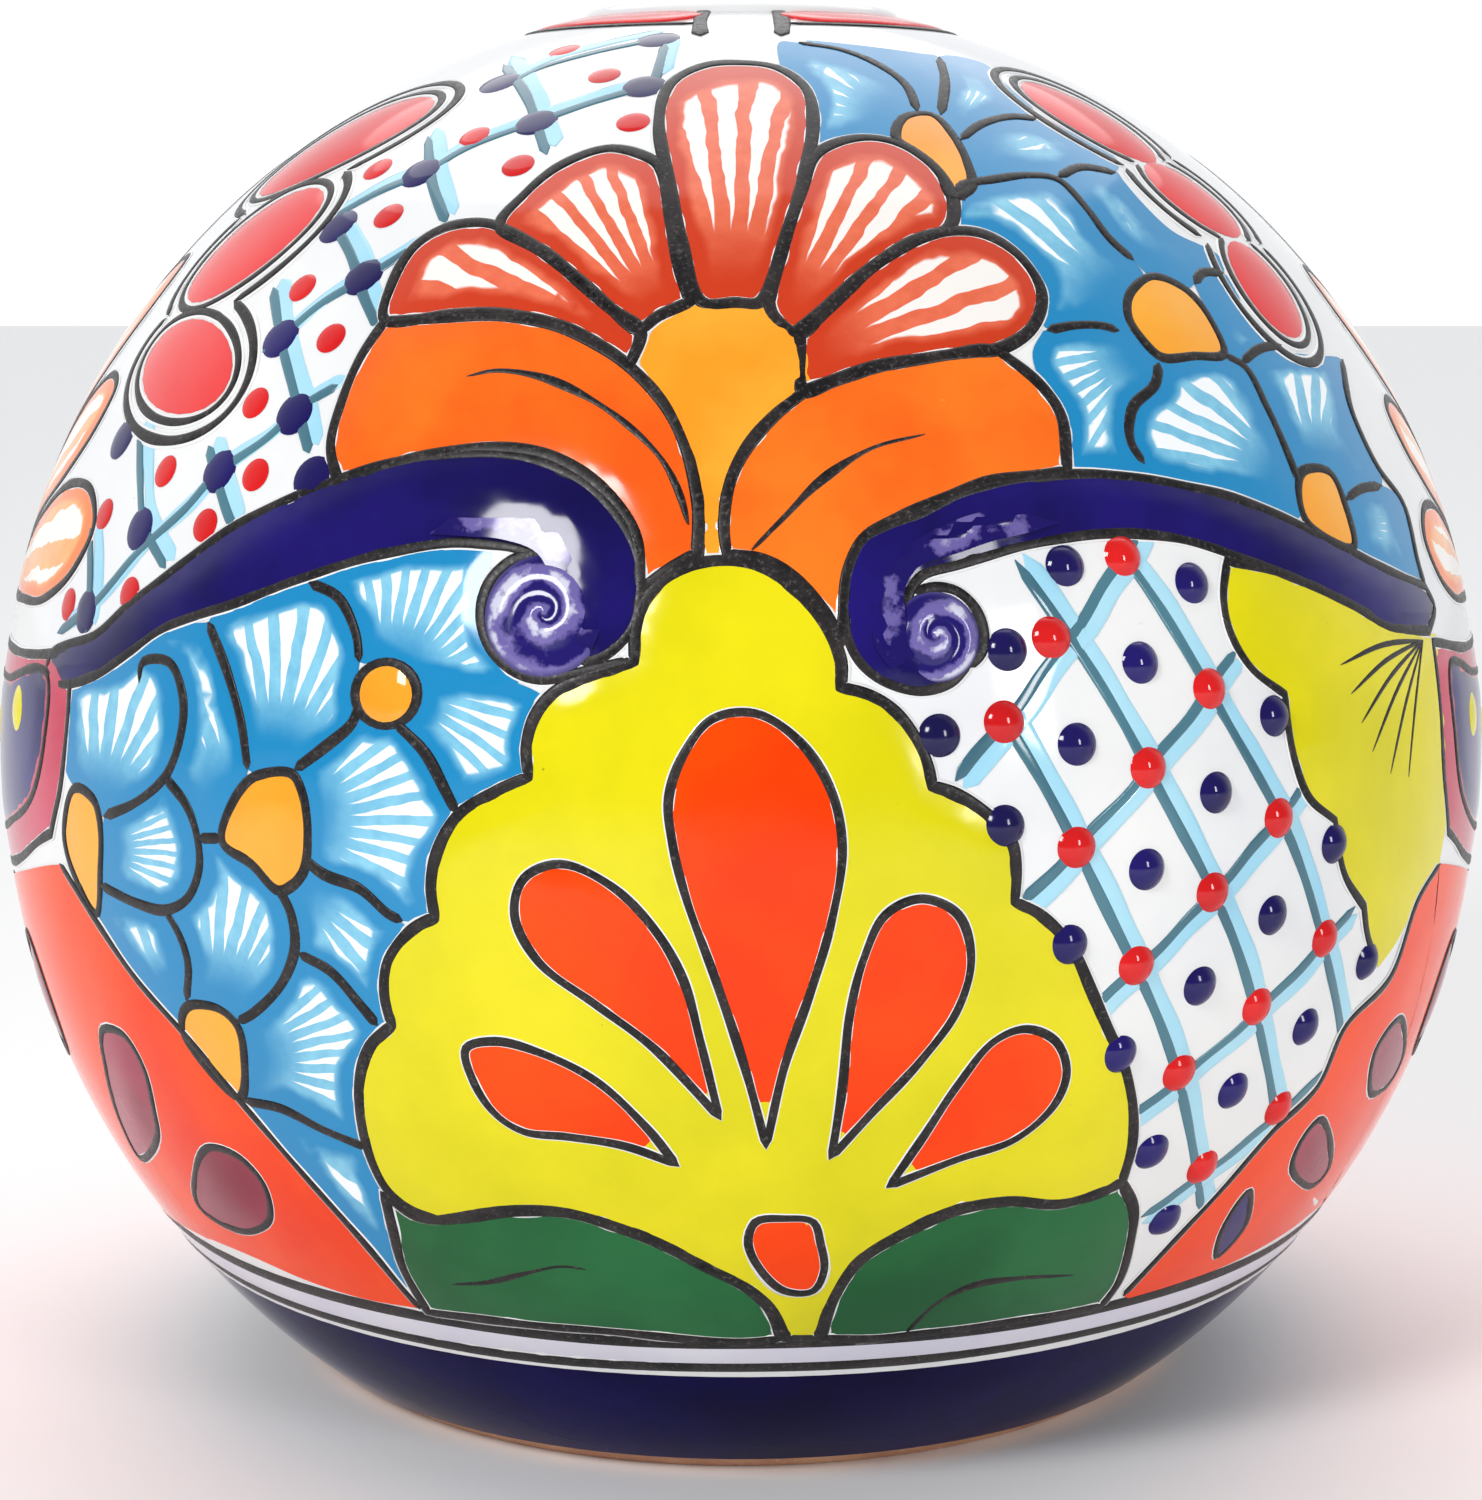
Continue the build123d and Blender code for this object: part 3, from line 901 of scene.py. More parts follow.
shield_drops = (
    ((3.5, -56), (6, -45), (9.5, -35), (12.5, -25), (14, -15), (12.5, -7), (8, 0), (2, 3.8), (-4, 3),
     (-8, -2), (-10, -8), (-9.5, -14), (-7.5, -22), (-3.5, -33), (0.5, -45), (3.5, -56)),
    ((-3, -52), (-5.5, -42), (-8, -33), (-12, -26), (-18, -20), (-25, -17), (-30, -19), (-31.3, -24),
     (-28, -30.5), (-20, -36.5), (-12, -42.5), (-3, -52)),
    ((12.5, -57.5), (14, -48), (15, -38), (17, -30), (20, -24), (25, -21.8), (30, -24), (31.8, -30),
     (30, -37), (25, -44), (18, -51.5), (12.5, -57.5)),
    ((-9, -58.5), (-13, -53.5), (-20, -47), (-28, -43), (-34, -41.5), (-38, -42.5), (-37, -47),
     (-34, -51.5), (-30, -54), (-24, -54.7), (-16, -56), (-9, -58.5)),
    ((20.5, -61.5), (25, -55), (30, -47.5), (35, -41.5), (39.5, -39.8), (43.5, -41.5), (45, -45.5),
     (43.5, -50), (38, -55), (30, -57.8), (20.5, -61.5)),
)
foot_drop = brush(
    ((2, -66.5), (6, -66), (10, -66.5), (11, -69.5), (11.5, -73), (10, -76), (6, -76), (3, -73.5),
     (1, -69.5)), True
)
lime = glaze("lime_glaze", (0.80, 0.70, 0.006), (0.66, 0.60, 0.002), (0.30, 0.30, 0.004), gloss=0.28)
drop_orange = glaze("drop_orange_glaze", (0.95, 0.072, 0.0), (0.88, 0.040, 0.0), gloss=0.20)
for face, turn in faces:
    flooded(f"{face}_shield", lime, turn, [shield], rise=0.5)
    ink(f"{face}_shield", turn, shut(shield))
    drops = Coat(f"{face}_shield_drops", drop_orange, turn)
    drop_edges = Coat(f"{face}_drop_white_edges", tin_white, turn)
    drop_lines = Coat(f"{face}_drop_outlines", outline_black, turn)
    for outline in [joined(points) for points in shield_drops] + [foot_drop]:
        drop_edges.line(outline, 2.4, True, rise=0.62)
        drop_lines.line(outline, 1.8, True, rise=0.70)
        drops.flood(outline, rise=0.35, bed=0.56)
    for coat in (drops, drop_edges, drop_lines):
        coat.finish_piece()


# The green leaves: a pair that lies along the base line under the shield, each with a vein.
green_leaves = (
    joined(
        ((-49.5, -63), (-48.3, -68), (-47, -73), (-43.5, -79.3)),
        ((-43.5, -79.3), (-38, -80), (-28, -81.2), (-18, -82), (-8, -83), (0, -83.5), (5.5, -83)),
        ((5.5, -83), (4, -79), (1, -76.2), (-5, -73), (-10, -70.5), (-17, -67.7), (-24, -65.7),
         (-31, -65.3), (-38, -66.2), (-45, -66.2), (-49.5, -63)),
    ),
    joined(
        ((11, -83), (13, -77.3), (16, -72.8), (22, -68.8), (30, -65.3), (37, -64), (44, -64.4),
         (53, -61.5)),
        ((53, -61.5), (54.5, -65), (54, -70), (52.5, -75), (50, -78.5)),
        ((50, -78.5), (45, -79.5), (35, -81), (25, -82.3), (18, -83), (11, -83)),
    ),
)
green_veins = (
    ((-40, -75.3), (-35, -75), (-30, -73.8), (-25, -72.8), (-21.5, -73.2)),
    ((23, -82), (27, -78), (32, -75.5), (38, -74.5), (46, -74)),
)
green = glaze("copper_green_glaze", (0.015, 0.145, 0.043), (0.006, 0.085, 0.024), (0.05, 0.24, 0.09), 0.24)
for face, turn in faces:
    flooded(f"{face}_green_leaves", green, turn, green_leaves, rise=0.3)
    ink(f"{face}_green_leaf", turn, shut(*green_leaves))
    stroked(f"{face}_green_veins", outline_black, turn, green_veins, 1.5, taper=14.0, rise=0.42, wander=0.4)


# The blue fields: overlapping shell flowers, one on each side of the front. Every petal is flooded
# with sky blue over white strokes that fan out from its heart, and the hearts are egg yellow.
left_petals = (
    (((-60, 22), (-55, 24.5), (-50, 25.8), (-45, 27), (-40, 27.3), (-35, 27), (-35, 21), (-34.5, 14),
      (-31, 8), (-45, 8.8), (-50, 10.8), (-53, 11), (-53.5, 15), (-56, 20)), (-49, 7)),
    (((-45, 8.8), (-31, 8), (-27, 5.5), (-28.5, 3.5), (-29.8, -1), (-29.5, -5), (-34, -7), (-39.5, -10),
      (-41, -7), (-44, -1.5), (-48, 2.5), (-45, 5)), (-49, 8)),
    (((-53, 11), (-53.5, 15), (-56, 20), (-60, 22), (-65, 21.3), (-70, 19.3), (-74, 16.5), (-71.5, 10),
      (-69.5, 3), (-68.5, -4), (-62, -4), (-58, -1), (-54, 2.5), (-53.5, 7)), (-65, -5)),
    (((-74, 16.5), (-80, 15.8), (-83.5, 12.5), (-79.5, 11), (-77.5, 6), (-78, 0), (-80, -5), (-77, -9),
      (-75.5, -13.5), (-72, -14), (-70.5, -8.5), (-68.5, -4), (-69.5, 3), (-71.5, 10)), (-70, -11)),
    (((-83.5, 12.5), (-79.5, 11), (-77.5, 6), (-78, 0), (-80, -5), (-84, -8.5), (-88.5, -10.5), (-91, -8),
      (-93.5, -5), (-94.5, 2), (-94, 7.5), (-90, 9.5)), (-90, -11)),
    (((-88.5, -10.5), (-84, -8.5), (-80, -5), (-77, -9), (-75.5, -13.5), (-75.3, -18), (-77, -22),
      (-80, -23.5), (-84, -22.5), (-89, -20), (-89, -15)), (-90, -15)),
    (((-89, -20), (-84, -22.5), (-80, -23.5), (-78, -27), (-76.8, -31), (-77, -37), (-77, -41),
      (-84, -33), (-89.5, -25)), (-78, -39)),
    (((-75.5, -13.5), (-72, -13.5), (-68, -17), (-64, -20.8), (-62.5, -24), (-62, -29), (-64, -34),
      (-68, -38), (-70, -39), (-73, -37), (-77, -37), (-76.8, -31), (-78, -27), (-80, -23.5), (-77, -22),
      (-75.3, -18)),
     (-73, -39)),
    (((-62, -4), (-58, -1), (-54, 2.5), (-53, 4.5), (-50, 2.2), (-48, 2.5), (-44, -1.5), (-41, -7),
      (-39.5, -10), (-42, -15), (-43, -20), (-42.5, -24.5), (-47, -25), (-49, -24), (-53, -20.5),
      (-58, -18.5), (-60.5, -16.5), (-60.2, -13), (-61, -7)), (-63.5, -11)),
    (((-60.5, -16.5), (-58, -18.5), (-53, -20.5), (-49, -24), (-46, -26.5), (-49, -30.5), (-49.5, -35),
      (-48.5, -39.5), (-50.5, -39.5), (-53, -36.5), (-57, -32), (-61.5, -29.5), (-62, -26), (-62.5, -24),
      (-64, -20.5), (-61, -18.5)), (-64, -18)),
    (((-61.5, -29.5), (-57, -32), (-53, -36.5), (-50, -39.8), (-51.5, -42.5), (-53, -48), (-52.5, -54),
      (-52, -56.5), (-58, -54), (-64, -51), (-69, -50), (-69, -44), (-70, -39.5), (-68, -38), (-64, -34),
      (-62, -30)), (-70, -44.5)),
    (((-69.5, -50), (-64, -51), (-58, -54), (-52, -56.5), (-51, -59), (-49.5, -63), (-47.5, -70),
      (-46.5, -76), (-52, -70), (-60, -61)), (-70, -49)),
)
left_hearts = (
    ((-72, -14), (-70.5, -8.5), (-67.5, -5), (-62.5, -4.5), (-61, -7), (-60.2, -13), (-61, -18.5),
     (-64, -20.8), (-68, -17)),
    ((-77.5, -40.5), (-77, -37), (-73, -37), (-70, -39.5), (-69, -44), (-69.5, -49.5)),
    ((-92.5, -6.5), (-90, -8), (-89, -12), (-89, -18), (-89.5, -24), (-92, -20), (-94, -13)),
)
left_runs = (
    ((-60, 22), (-56, 20), (-53.5, 15), (-53, 11)),
    ((-48, 2.5), (-44, -1.5), (-41, -7), (-39.5, -10)),
    ((-53, 5.5), (-54, 2.5), (-58, -1), (-62, -4)),
    ((-74, 16.5), (-71.5, 10), (-69.5, 3), (-68.5, -4)),
    ((-83.5, 8), (-83, 11), (-79.5, 11), (-77.5, 6), (-78, 0), (-80, -5), (-84, -8.5), (-88.5, -10.5)),
    ((-80, -5), (-77, -9), (-75.5, -13.5), (-75.3, -18), (-77, -22), (-80, -23.5), (-84, -22.5),
     (-89, -20)),
    ((-75.5, -13.5), (-72, -13.5)),
    ((-60.5, -16.5), (-58, -18.5), (-53, -20.5), (-49, -24), (-47, -25)),
    ((-64.5, -20), (-62.5, -24), (-62, -29), (-64, -34), (-68, -38), (-70, -39)),
    ((-61.5, -29.5), (-57, -32), (-53, -36.5), (-50.5, -39.5)),
    ((-80, -23.5), (-78, -27), (-76.8, -31), (-77, -36)),
    ((-69, -50), (-64, -51), (-58, -54), (-52, -56.5)),
)
right_petals = (
    (((5.5, 93.3), (9.2, 90.3), (10, 85.5), (9.5, 82), (13, 83), (18, 83.8), (21.5, 84), (24.5, 87.5),
      (23, 91), (19, 94), (14, 96), (8, 97), (5.2, 97)), (22, 86)),
    (((24.5, 87.5), (23, 91), (19, 94), (14, 96), (9, 97.3), (15, 96.8), (25, 95.5), (27.5, 95),
      (28.3, 92), (27.8, 87)), (26, 86)),
    (((27.8, 87), (28.3, 92), (27.5, 95), (34, 94), (37, 91), (41, 87), (37, 86.7), (33, 85.5),
      (30.5, 83.5), (29.5, 84.5)), (29, 84)),
    (((30.5, 83.5), (33, 85.5), (37, 86.7), (41, 86.9), (45, 85), (50, 82.5), (52.5, 80.3), (52, 79),
      (47, 79.7), (44, 78.2), (40, 78.6), (35, 78), (32, 77), (31.5, 80)), (30, 81)),
    (((32, 77), (30.5, 76), (29.5, 75), (29, 71.2), (34, 70.3), (39, 67), (41.8, 62), (42.2, 57.5),
      (46, 57.7), (50, 57.7), (54, 57), (53.8, 59), (54, 62), (56, 64.3), (54.5, 66.8), (51, 70),
      (48, 74), (44, 78), (40, 78.6), (35, 78)), (55, 60)),
    (((42, 57), (46, 57.7), (50, 57.7), (54, 57), (56, 55.5), (58.2, 53), (57.5, 49.5), (54.5, 46.5),
      (54, 42), (56, 37), (50, 37.5), (45.3, 38), (44.5, 45), (42, 49), (40.5, 54)), (57, 55)),
    (((44, 78.3), (47, 79.7), (52, 79.3), (53, 78), (56, 74.5), (60, 70.8), (66.5, 67.3), (67, 65),
      (64, 65), (62.5, 63), (57, 64.5), (54.5, 66.8), (51, 70), (48, 74)), (58, 64)),
    (((63, 63.5), (64, 65), (67, 65), (69, 62), (70.5, 58.5), (74, 55), (72, 54.5), (69.5, 52.8),
      (67, 53.7), (65.5, 58)), (64.5, 57)),
    (((58.2, 53), (63, 53.5), (67, 53.7), (70, 52), (73, 46.5), (75.5, 41), (77.5, 36), (77.5, 31),
      (70, 34), (65, 35.2), (60, 36.3), (56, 37), (54, 42), (54.5, 46.5), (57.5, 49.5)), (78.5, 36)),
    (((67.5, 53.5), (69.5, 52.6), (72, 54.5), (76, 54), (80, 53.5), (83.5, 53), (84.5, 47), (86, 43),
      (88.5, 38), (89, 35.5), (86, 35), (84, 33.5), (81.5, 37.5), (78, 37), (75.5, 41), (73, 46.5),
      (70, 52)),
      (80, 36)),
    (((84, 33), (86, 35), (89, 35.5), (92, 33), (94, 25), (95, 21.5), (90, 23.8), (85.3, 26.8)), (83, 30)),
)
right_hearts = (
    ((21.5, 84), (22.5, 86.5), (26.5, 87), (29.5, 84), (31.5, 80), (32, 77), (29.3, 75.5), (27.5, 79),
     (24.5, 81.8)),
    ((57, 64.5), (54, 62), (53.8, 59), (56, 55.5), (58.5, 53.3), (63, 53.5), (67, 53.7), (65.5, 58),
     (62, 62.5)),
    ((78, 37.5), (77.5, 34), (79, 30), (85, 26.8), (84, 32.5), (81.5, 37.5)),
)
right_runs = (
    ((27.5, 95), (28.3, 92), (27.8, 87)),
    ((24.5, 87.5), (23, 91), (19, 94), (14, 96), (8, 97)),
    ((30.5, 83.5), (33, 85.5), (37, 86.7), (41, 86.5)),
    ((31, 75), (30.5, 77), (35, 78), (40, 78.6), (44, 78), (48, 74), (51, 70), (54.5, 66.8)),
    ((44, 78.3), (47, 79.7), (52, 79)),
    ((42.5, 57), (46, 57.7), (50, 57.7), (52.5, 57)),
    ((58, 52.5), (57.5, 49.5), (54.5, 46.5), (54, 42), (56, 38.5)),
    ((67, 53.7), (70, 52), (73, 46.5), (75.5, 41), (77.5, 36)),
    ((69.5, 52.5), (72, 54.5), (75, 55)),
    ((63, 63.5), (64, 65), (67, 65)),
    ((84, 33.5), (86, 35), (89, 35.5)),
    ((83.5, 53), (84.5, 47), (86, 43), (88.5, 38), (92, 33), (94, 25), (95, 21.5)),
)
sky_blue = petal_glaze("sky_blue_glaze", (0.88, 0.91, 0.93), (0.24, 0.58, 0.76), (0.010, 0.235, 0.50))
for face, turn in faces:
    shells = Coat(f"{face}_blue_petals", sky_blue, turn)
    for points, root in left_petals + right_petals:
        shells.flood(brush((*points, points[0]))[:-1], root, rise=0.16, grain=1.7)
    shells.finish_piece()
    hearts = Coat(f"{face}_blue_flower_hearts", egg_yellow, turn)
    heart_rims = [brush(points, True) for points in left_hearts + right_hearts]
    for outline in heart_rims:
        hearts.flood(outline, rise=0.45, bed=0.10)
    hearts.dot((-49.3, 6.5), 4.6, rise=0.6)
    hearts.finish_piece()
    lines = open_strokes(*left_runs, *right_runs) + shut(*heart_rims)
    turns = [2.0 * math.pi * k / 24 for k in range(24)]
    ring = np.array([(-49.3 + 4.3 * math.cos(a), 6.5 + 4.3 * math.sin(a)) for a in turns])
    ink(f"{face}_blue_flower", turn, lines + shut(ring), 1.6, 0.0)


# The coral corners: warm red glaze at the foot of the blue field and of the trellis, that runs
# on round both sides under the medallions, with maroon drops of thick glaze on it.
coral_edges = (
    ((-94.5, -17), (-89.5, -25), (-84, -33), (-77, -41), (-69.5, -50), (-60, -61), (-52, -70), (-47, -76),
     (-44.5, -78.8)),
    ((53, -77), (60, -69.5), (67, -62), (74, -54), (80, -48), (84, -39.5), (90, -33), (94, -22), (97, -17)),
)
front_coral = (
    joined(
        coral_edges[0],
        ((-44.5, -78.8), (-52, -77.5), (-60, -75), (-68, -71.5), (-74, -69)),
        ((-74, -69), (-81, -60), (-87, -48), (-92, -33), (-94.5, -17)),
    ),
    joined(
        coral_edges[1],
        ((97, -17), (95, -33), (90, -48), (85, -57), (81, -64)),
        ((81, -64), (76, -68), (68, -72.5), (60, -75.5), (53, -77.6)),
    ),
)
maroon_drops = (
    ((-88.5, -40), (-86, -40.5), (-83, -45), (-81.5, -51), (-81, -55), (-83, -58), (-86, -53), (-88, -46)),
    ((-75.5, -59), (-74, -56.5), (-70, -57.5), (-66, -62), (-65.5, -66.5), (-68, -68), (-72, -67),
     (-75.5, -64)),
    ((80.5, -52.5), (81.7, -55.5), (81.5, -59.3), (79, -61.8), (76.5, -59.5), (78, -55)),
    ((91.5, -38.5), (92, -43), (89.5, -48), (87.5, -49), (88, -43)),
)
cobalt_leaf = ((70.5, -62.5), (70, -67), (66, -71.5), (66.5, -68.5), (69, -64))
sides = (("left", -90.0), ("right", 90.0))
side_coral = joined(
    ((-60.5, -26), (-46, -31), (-30, -35.8), (0, -38.8), (30, -36), (48, -31), (67.5, -23.7)),
    ((67.5, -23.7), (65.4, -41), (62.3, -56), (58.6, -68), (57.6, -75.2)),
    ((57.6, -75.2), (40, -80), (20, -82.6), (0, -83.5), (-20, -82.8), (-40.4, -79.5)),
    ((-40.4, -79.5), (-45, -74.5), (-49.5, -69), (-50.3, -61), (-55.8, -44.6), (-60.5, -26)),
)
coral = glaze("coral_glaze", (0.93, 0.072, 0.006), (0.84, 0.040, 0.003), (0.95, 0.14, 0.03), gloss=0.18)
maroon = glaze("maroon_glaze", (0.36, 0.014, 0.055), (0.20, 0.006, 0.030))
for face, turn in faces:
    flooded(f"{face}_coral_corners", coral, turn, front_coral, rise=0.05, grain=1.5, bed=0.15)
    rims = [brush(points, True) for points in maroon_drops]
    flooded(f"{face}_maroon_drops", maroon, turn, rims, rise=0.5, grain=1.5, bed=0.25)
    leaf_rim = brush(cobalt_leaf, True)
    flooded(f"{face}_cobalt_leaf", cobalt, turn, [leaf_rim], rise=0.3, bed=0.30)
    ink(f"{face}_coral", turn, open_strokes(*coral_edges), 1.5, 2.0, 0.08)
    ink(f"{face}_coral_drop", turn, shut(*rims, leaf_rim), 1.5, 2.0, 0.12)
for side, turn in sides:
    flooded(f"{side}_coral_base", coral, turn, [side_coral], rise=0.05, grain=2.0, bed=0.15)
    drops = Coat(f"{side}_maroon_drops", maroon, turn)
    rims = []
    for place in (-38, -19, 0, 19, 38):
        heart = on_the_body([(place, -58 + 0.004 * place * place)], turn)[0][0]
        drops.blob(heart, 6.5, 0.6, 1.5)
        rims.append(hoop(heart, 7.4, 1.45))
    drops.finish_piece()
    lines = Coat(f"{side}_maroon_outlines", outline_black, turn)
    for rim_places, rim_outward in rims:
        lines.ribbon(rim_places, rim_outward, 1.6, True, rise=0.42)
    lines.finish_piece()


# The lime fan: a shell of lime glaze at the right edge of the front, beside the trellis,
# with a spray of dry brush strokes at its heart.
fan_edge = (
    ((88, 17.5), (82, 20.5), (75, 23.3), (67.5, 25)),
    ((67.5, 25), (67, 20), (68, 15), (71, 10), (75.5, 6.5)),
    ((75.5, 6.5), (76, 2), (77, -3), (79, -8), (82.5, -11)),
    ((82.5, -11), (83, -15), (84, -19), (86.5, -23)),
    ((86.5, -23), (87, -27), (88.5, -31.5)),
)
lime_fan = joined(*fan_edge, ((88.5, -31.5), (91, -28), (94, -22), (97, -17)),
                  ((97, -17), (98.3, -8), (98, 2), (96.5, 14.8)), ((96.5, 14.8), (88, 17.5)))
spray_heart = (94.5, 14)
spray_ends = ((83, 10.5), (84.5, 6.5), (86, 2.5), (87.5, -1.5), (90, -4.5), (92.5, -5))
spray = [(spray_heart, ((spray_heart[0] + x) / 2, (spray_heart[1] + y) / 2 + 1), (x, y))
         for x, y in spray_ends]
for face, turn in faces:
    flooded(f"{face}_lime_fan", lime, turn, [lime_fan], rise=0.25, grain=1.7, bed=0.10)
    stroked(f"{face}_lime_spray", outline_black, turn, spray, 1.2, taper=14.0, rise=0.40)
    ink(f"{face}_lime_fan", turn, [(joined(*fan_edge), False)], 1.4, 1.9)


# The lattices: crossed lines brushed over the bare white, each a wet light-blue stroke with a
# darker one beside it. One fills the upper left with flat dots, the other carries the raised dots.
flat_lattice = (
    ((-95, 15), (-90, 19), (-84, 26), (-77, 32.5), (-73, 37), (-66, 42), (-61, 46.5), (-56, 49.5)),
    ((-66.5, 54), (-64, 56), (-58, 61), (-52, 64.5), (-45, 69)),
    ((-58, 72), (-50, 76.5), (-44, 79), (-38, 82.5), (-30, 85.5), (-20, 89), (-13, 91)),
    ((-33, 91), (-28, 93.5), (-20, 95.8), (-12, 97.5)),
    ((-91, 15), (-90.5, 22), (-90.5, 30)),
    ((-83.5, 44), (-83.5, 36), (-83, 30), (-80, 24)),
    ((-74, 41), (-73, 37), (-71.5, 32), (-70.5, 29.5)),
    ((-65, 63), (-64, 56), (-62, 48), (-60, 40)),
    ((-56, 71), (-54, 67), (-52.5, 62), (-50.5, 57.5)),
    ((-43.5, 84), (-43, 78), (-41, 72)),
    ((-33, 94), (-30, 90), (-27, 81.5)),
    ((-10.5, 97), (-12, 91.5)),
)
flat_cobalt = ((-44.5, 79), (-56, 71.5), (-52.5, 64.5), (-64, 56), (-62, 45.5), (-72.5, 37.5),
               (-59.5, 36.5), (-86, 42), (-33.5, 91.5), (-28.5, 86), (-13.5, 91), (-11.5, 97.5),
               (-83.5, 29.5), (-91, 18))
flat_red = ((-37, 84), (-50.5, 79.5), (-49, 73), (-61, 63), (-57, 56), (-67.5, 47), (-67.5, 37),
            (-80, 37.5), (-31, 80), (-15, 86), (-19, 92.5), (-24.5, 96), (-88.5, 31.5), (-74.5, 30),
            (-85, 20.5), (-93.5, 19))
trellis_start = np.array((32.6, 11.0))
trellis_across = np.array((-5.4, -4.7))
trellis_down = np.array((5.6, -9.0))
trellis_widening = np.array((-0.4, 0.4))
wash_blue = glaze("wash_blue_glaze", (0.42, 0.72, 0.85), (0.30, 0.62, 0.80), (0.55, 0.80, 0.88))
lattice_blue = glaze("lattice_blue_glaze", (0.080, 0.21, 0.27), (0.045, 0.13, 0.18), (0.12, 0.28, 0.33))


def trellis_line(across, down, turn):
    """Places along a line of the trellis; one of across and down is a row of numbers."""
    across, down = np.broadcast_arrays(across, down)
    across, down = across[:, None], down[:, None]
    angles = trellis_start + across * (trellis_across + down * trellis_widening) + down * trellis_down
    bend = 0.15 * np.sin(angles[:, 1] / 4.0 + angles[:, 0])
    return at_angles(angles[:, 0] + bend + turn, angles[:, 1])


for face, turn in faces:
    washes = Coat(f"{face}_lattice_washes", wash_blue, turn)
    lines = Coat(f"{face}_lattice_lines", lattice_blue, turn)
    for run in flat_lattice:
        stroke = brush(run)
        washes.line(stroke + np.array((1.2, 1.2)), 2.6, rise=0.07, wander=0.2)
        lines.line(stroke, 1.7, rise=0.11)
    runs = []
    for across, top, bottom in ((0.0, -1.2, 2.9), (1.0, -1.6, 3.3), (2.0, -1.1, 3.4)):
        runs.append(trellis_line(np.full(40, across), np.linspace(top, bottom, 40), turn))
    for down in (-1.0, 0.0, 1.0, 2.0, 3.0):
        runs.append(trellis_line(np.linspace(-0.5, 2.7, 30), np.full(30, down), turn))
    for places, outward in runs:
        ahead = np.gradient(places, axis=0)
        ahead /= np.linalg.norm(ahead, axis=1, keepdims=True)
        beside = places + np.cross(outward, ahead) * 1.6 * millimetre
        washes.ribbon(beside, outward, 2.6, rise=0.07, wander=0.2)
        lines.ribbon(places, outward, 1.6, rise=0.11)
    washes.finish_piece()
    lines.finish_piece()
    flat_dots = (("red", dot_red, flat_red, 2.6), ("cobalt", dot_cobalt, flat_cobalt, 3.5))
    for colour, enamel, spots, radius in flat_dots:
        dots = Coat(f"{face}_flat_{colour}_dots", enamel, turn)
        for spot in spots:
            dots.dot(spot, radius, rise=0.25)
        dots.finish_piece()


# The garlands: chains of rose red ovals in a white band with double scalloped outlines. Two fall
# from the crown on each face, and a red ring closes them round the mouth.
garland = (
    ((-77.5, 52.3), 7.8, 2.0, (-8.5, 5.5)),
    ((-68, 69.3), 10.0, 1.45, (16, 11)),
    ((-55.5, 83.3), 10.0, 1.8, (26, 12.5)),
    ((73, 63), 7.6, 1.3, (-7, 14)),
    ((63, 75.4), 7.8, 1.25, (-13, 8)),
    ((48.6, 86.4), 8.6, 1.45, (-17, 10)),
)
crown_up = 76.0  # degrees above the widest line
crown_gap = 12.0


def seen_runs(places, outward, hidden):
    """The stretches of a ring that are not hidden by its neighbours."""
    order = np.roll(np.arange(len(places)), -int(np.argmax(hidden)))
    runs, run = [], []
    for k in order:
        if hidden[k] and run:
            runs.append(run)
            run = []
        elif not hidden[k]:
            run.append(k)
    runs.append(run)
    return [(places[run], outward[run]) for run in runs if len(run) > 9]


for face, turn in faces:
    ovals = Coat(f"{face}_garland_ovals", oval_red, turn)
    bare = Coat(f"{face}_garland_white_edges", tin_white, turn)
    lines = Coat(f"{face}_garland_outlines", outline_black, turn)
    ovals_here = []
    for (x, y), radius, stretch, (across, up) in garland:
        ends, _ = on_the_body([(x - across / 9, y - up / 9), (x, y), (x + across / 9, y + up / 9)], turn)
        ovals_here.append((ends[1], radius, stretch, ends[2] - ends[0]))
    for heart, radius, stretch, along in ovals_here:
        ovals.blob(heart, radius, 0.5, stretch, along)
    for room, width in ((1.4, 1.4), (4.6, 1.7)):
        for index, (heart, radius, stretch, along) in enumerate(ovals_here):
            long_way = (radius * stretch + room) / (radius + room)
            places, outward = hoop(heart, radius + room, long_way, 80, along)
            hidden = np.zeros(len(places), dtype=bool)
            for other, (far, far_radius, far_stretch, far_along) in enumerate(ovals_here):
                if other == index:
                    continue
                axis = far_along / np.linalg.norm(far_along)
                offset = (places - far) / millimetre
                lengthwise = offset @ axis
                sideways = np.sqrt(np.maximum((offset**2).sum(axis=1) - lengthwise**2, 0.0))
                long_share = lengthwise / (far_radius * far_stretch + room)
                hidden |= long_share**2 + (sideways / (far_radius + room)) ** 2 < 1.0
            runs = seen_runs(places, outward, hidden) if hidden.any() else [(places, outward)]
            for run_places, run_outward in runs:
                bare.ribbon(run_places, run_outward, width + 0.8, not hidden.any(), rise=0.14)
                lines.ribbon(run_places, run_outward, width, not hidden.any(), rise=0.24)
    crown = np.linspace(crown_gap, 180.0 - crown_gap, 60) + turn
    ovals.ribbon(*at_angles(crown, np.full(60, crown_up)), 8.0, rise=0.4, wander=0.05)
    lines.ribbon(*at_angles(crown, np.full(60, crown_up - 2.6)), 1.3, rise=0.24)
    for side in (-1.0, 1.0):
        down = np.linspace(crown_up + 4.0, crown_up - 6.0, 14)
        lines.ribbon(*at_angles(turn + side * (crown_gap - 0.6 * (crown_up - down)), down), 2.4, rise=0.28)
    for coat in (ovals, bare, lines):
        coat.finish_piece()


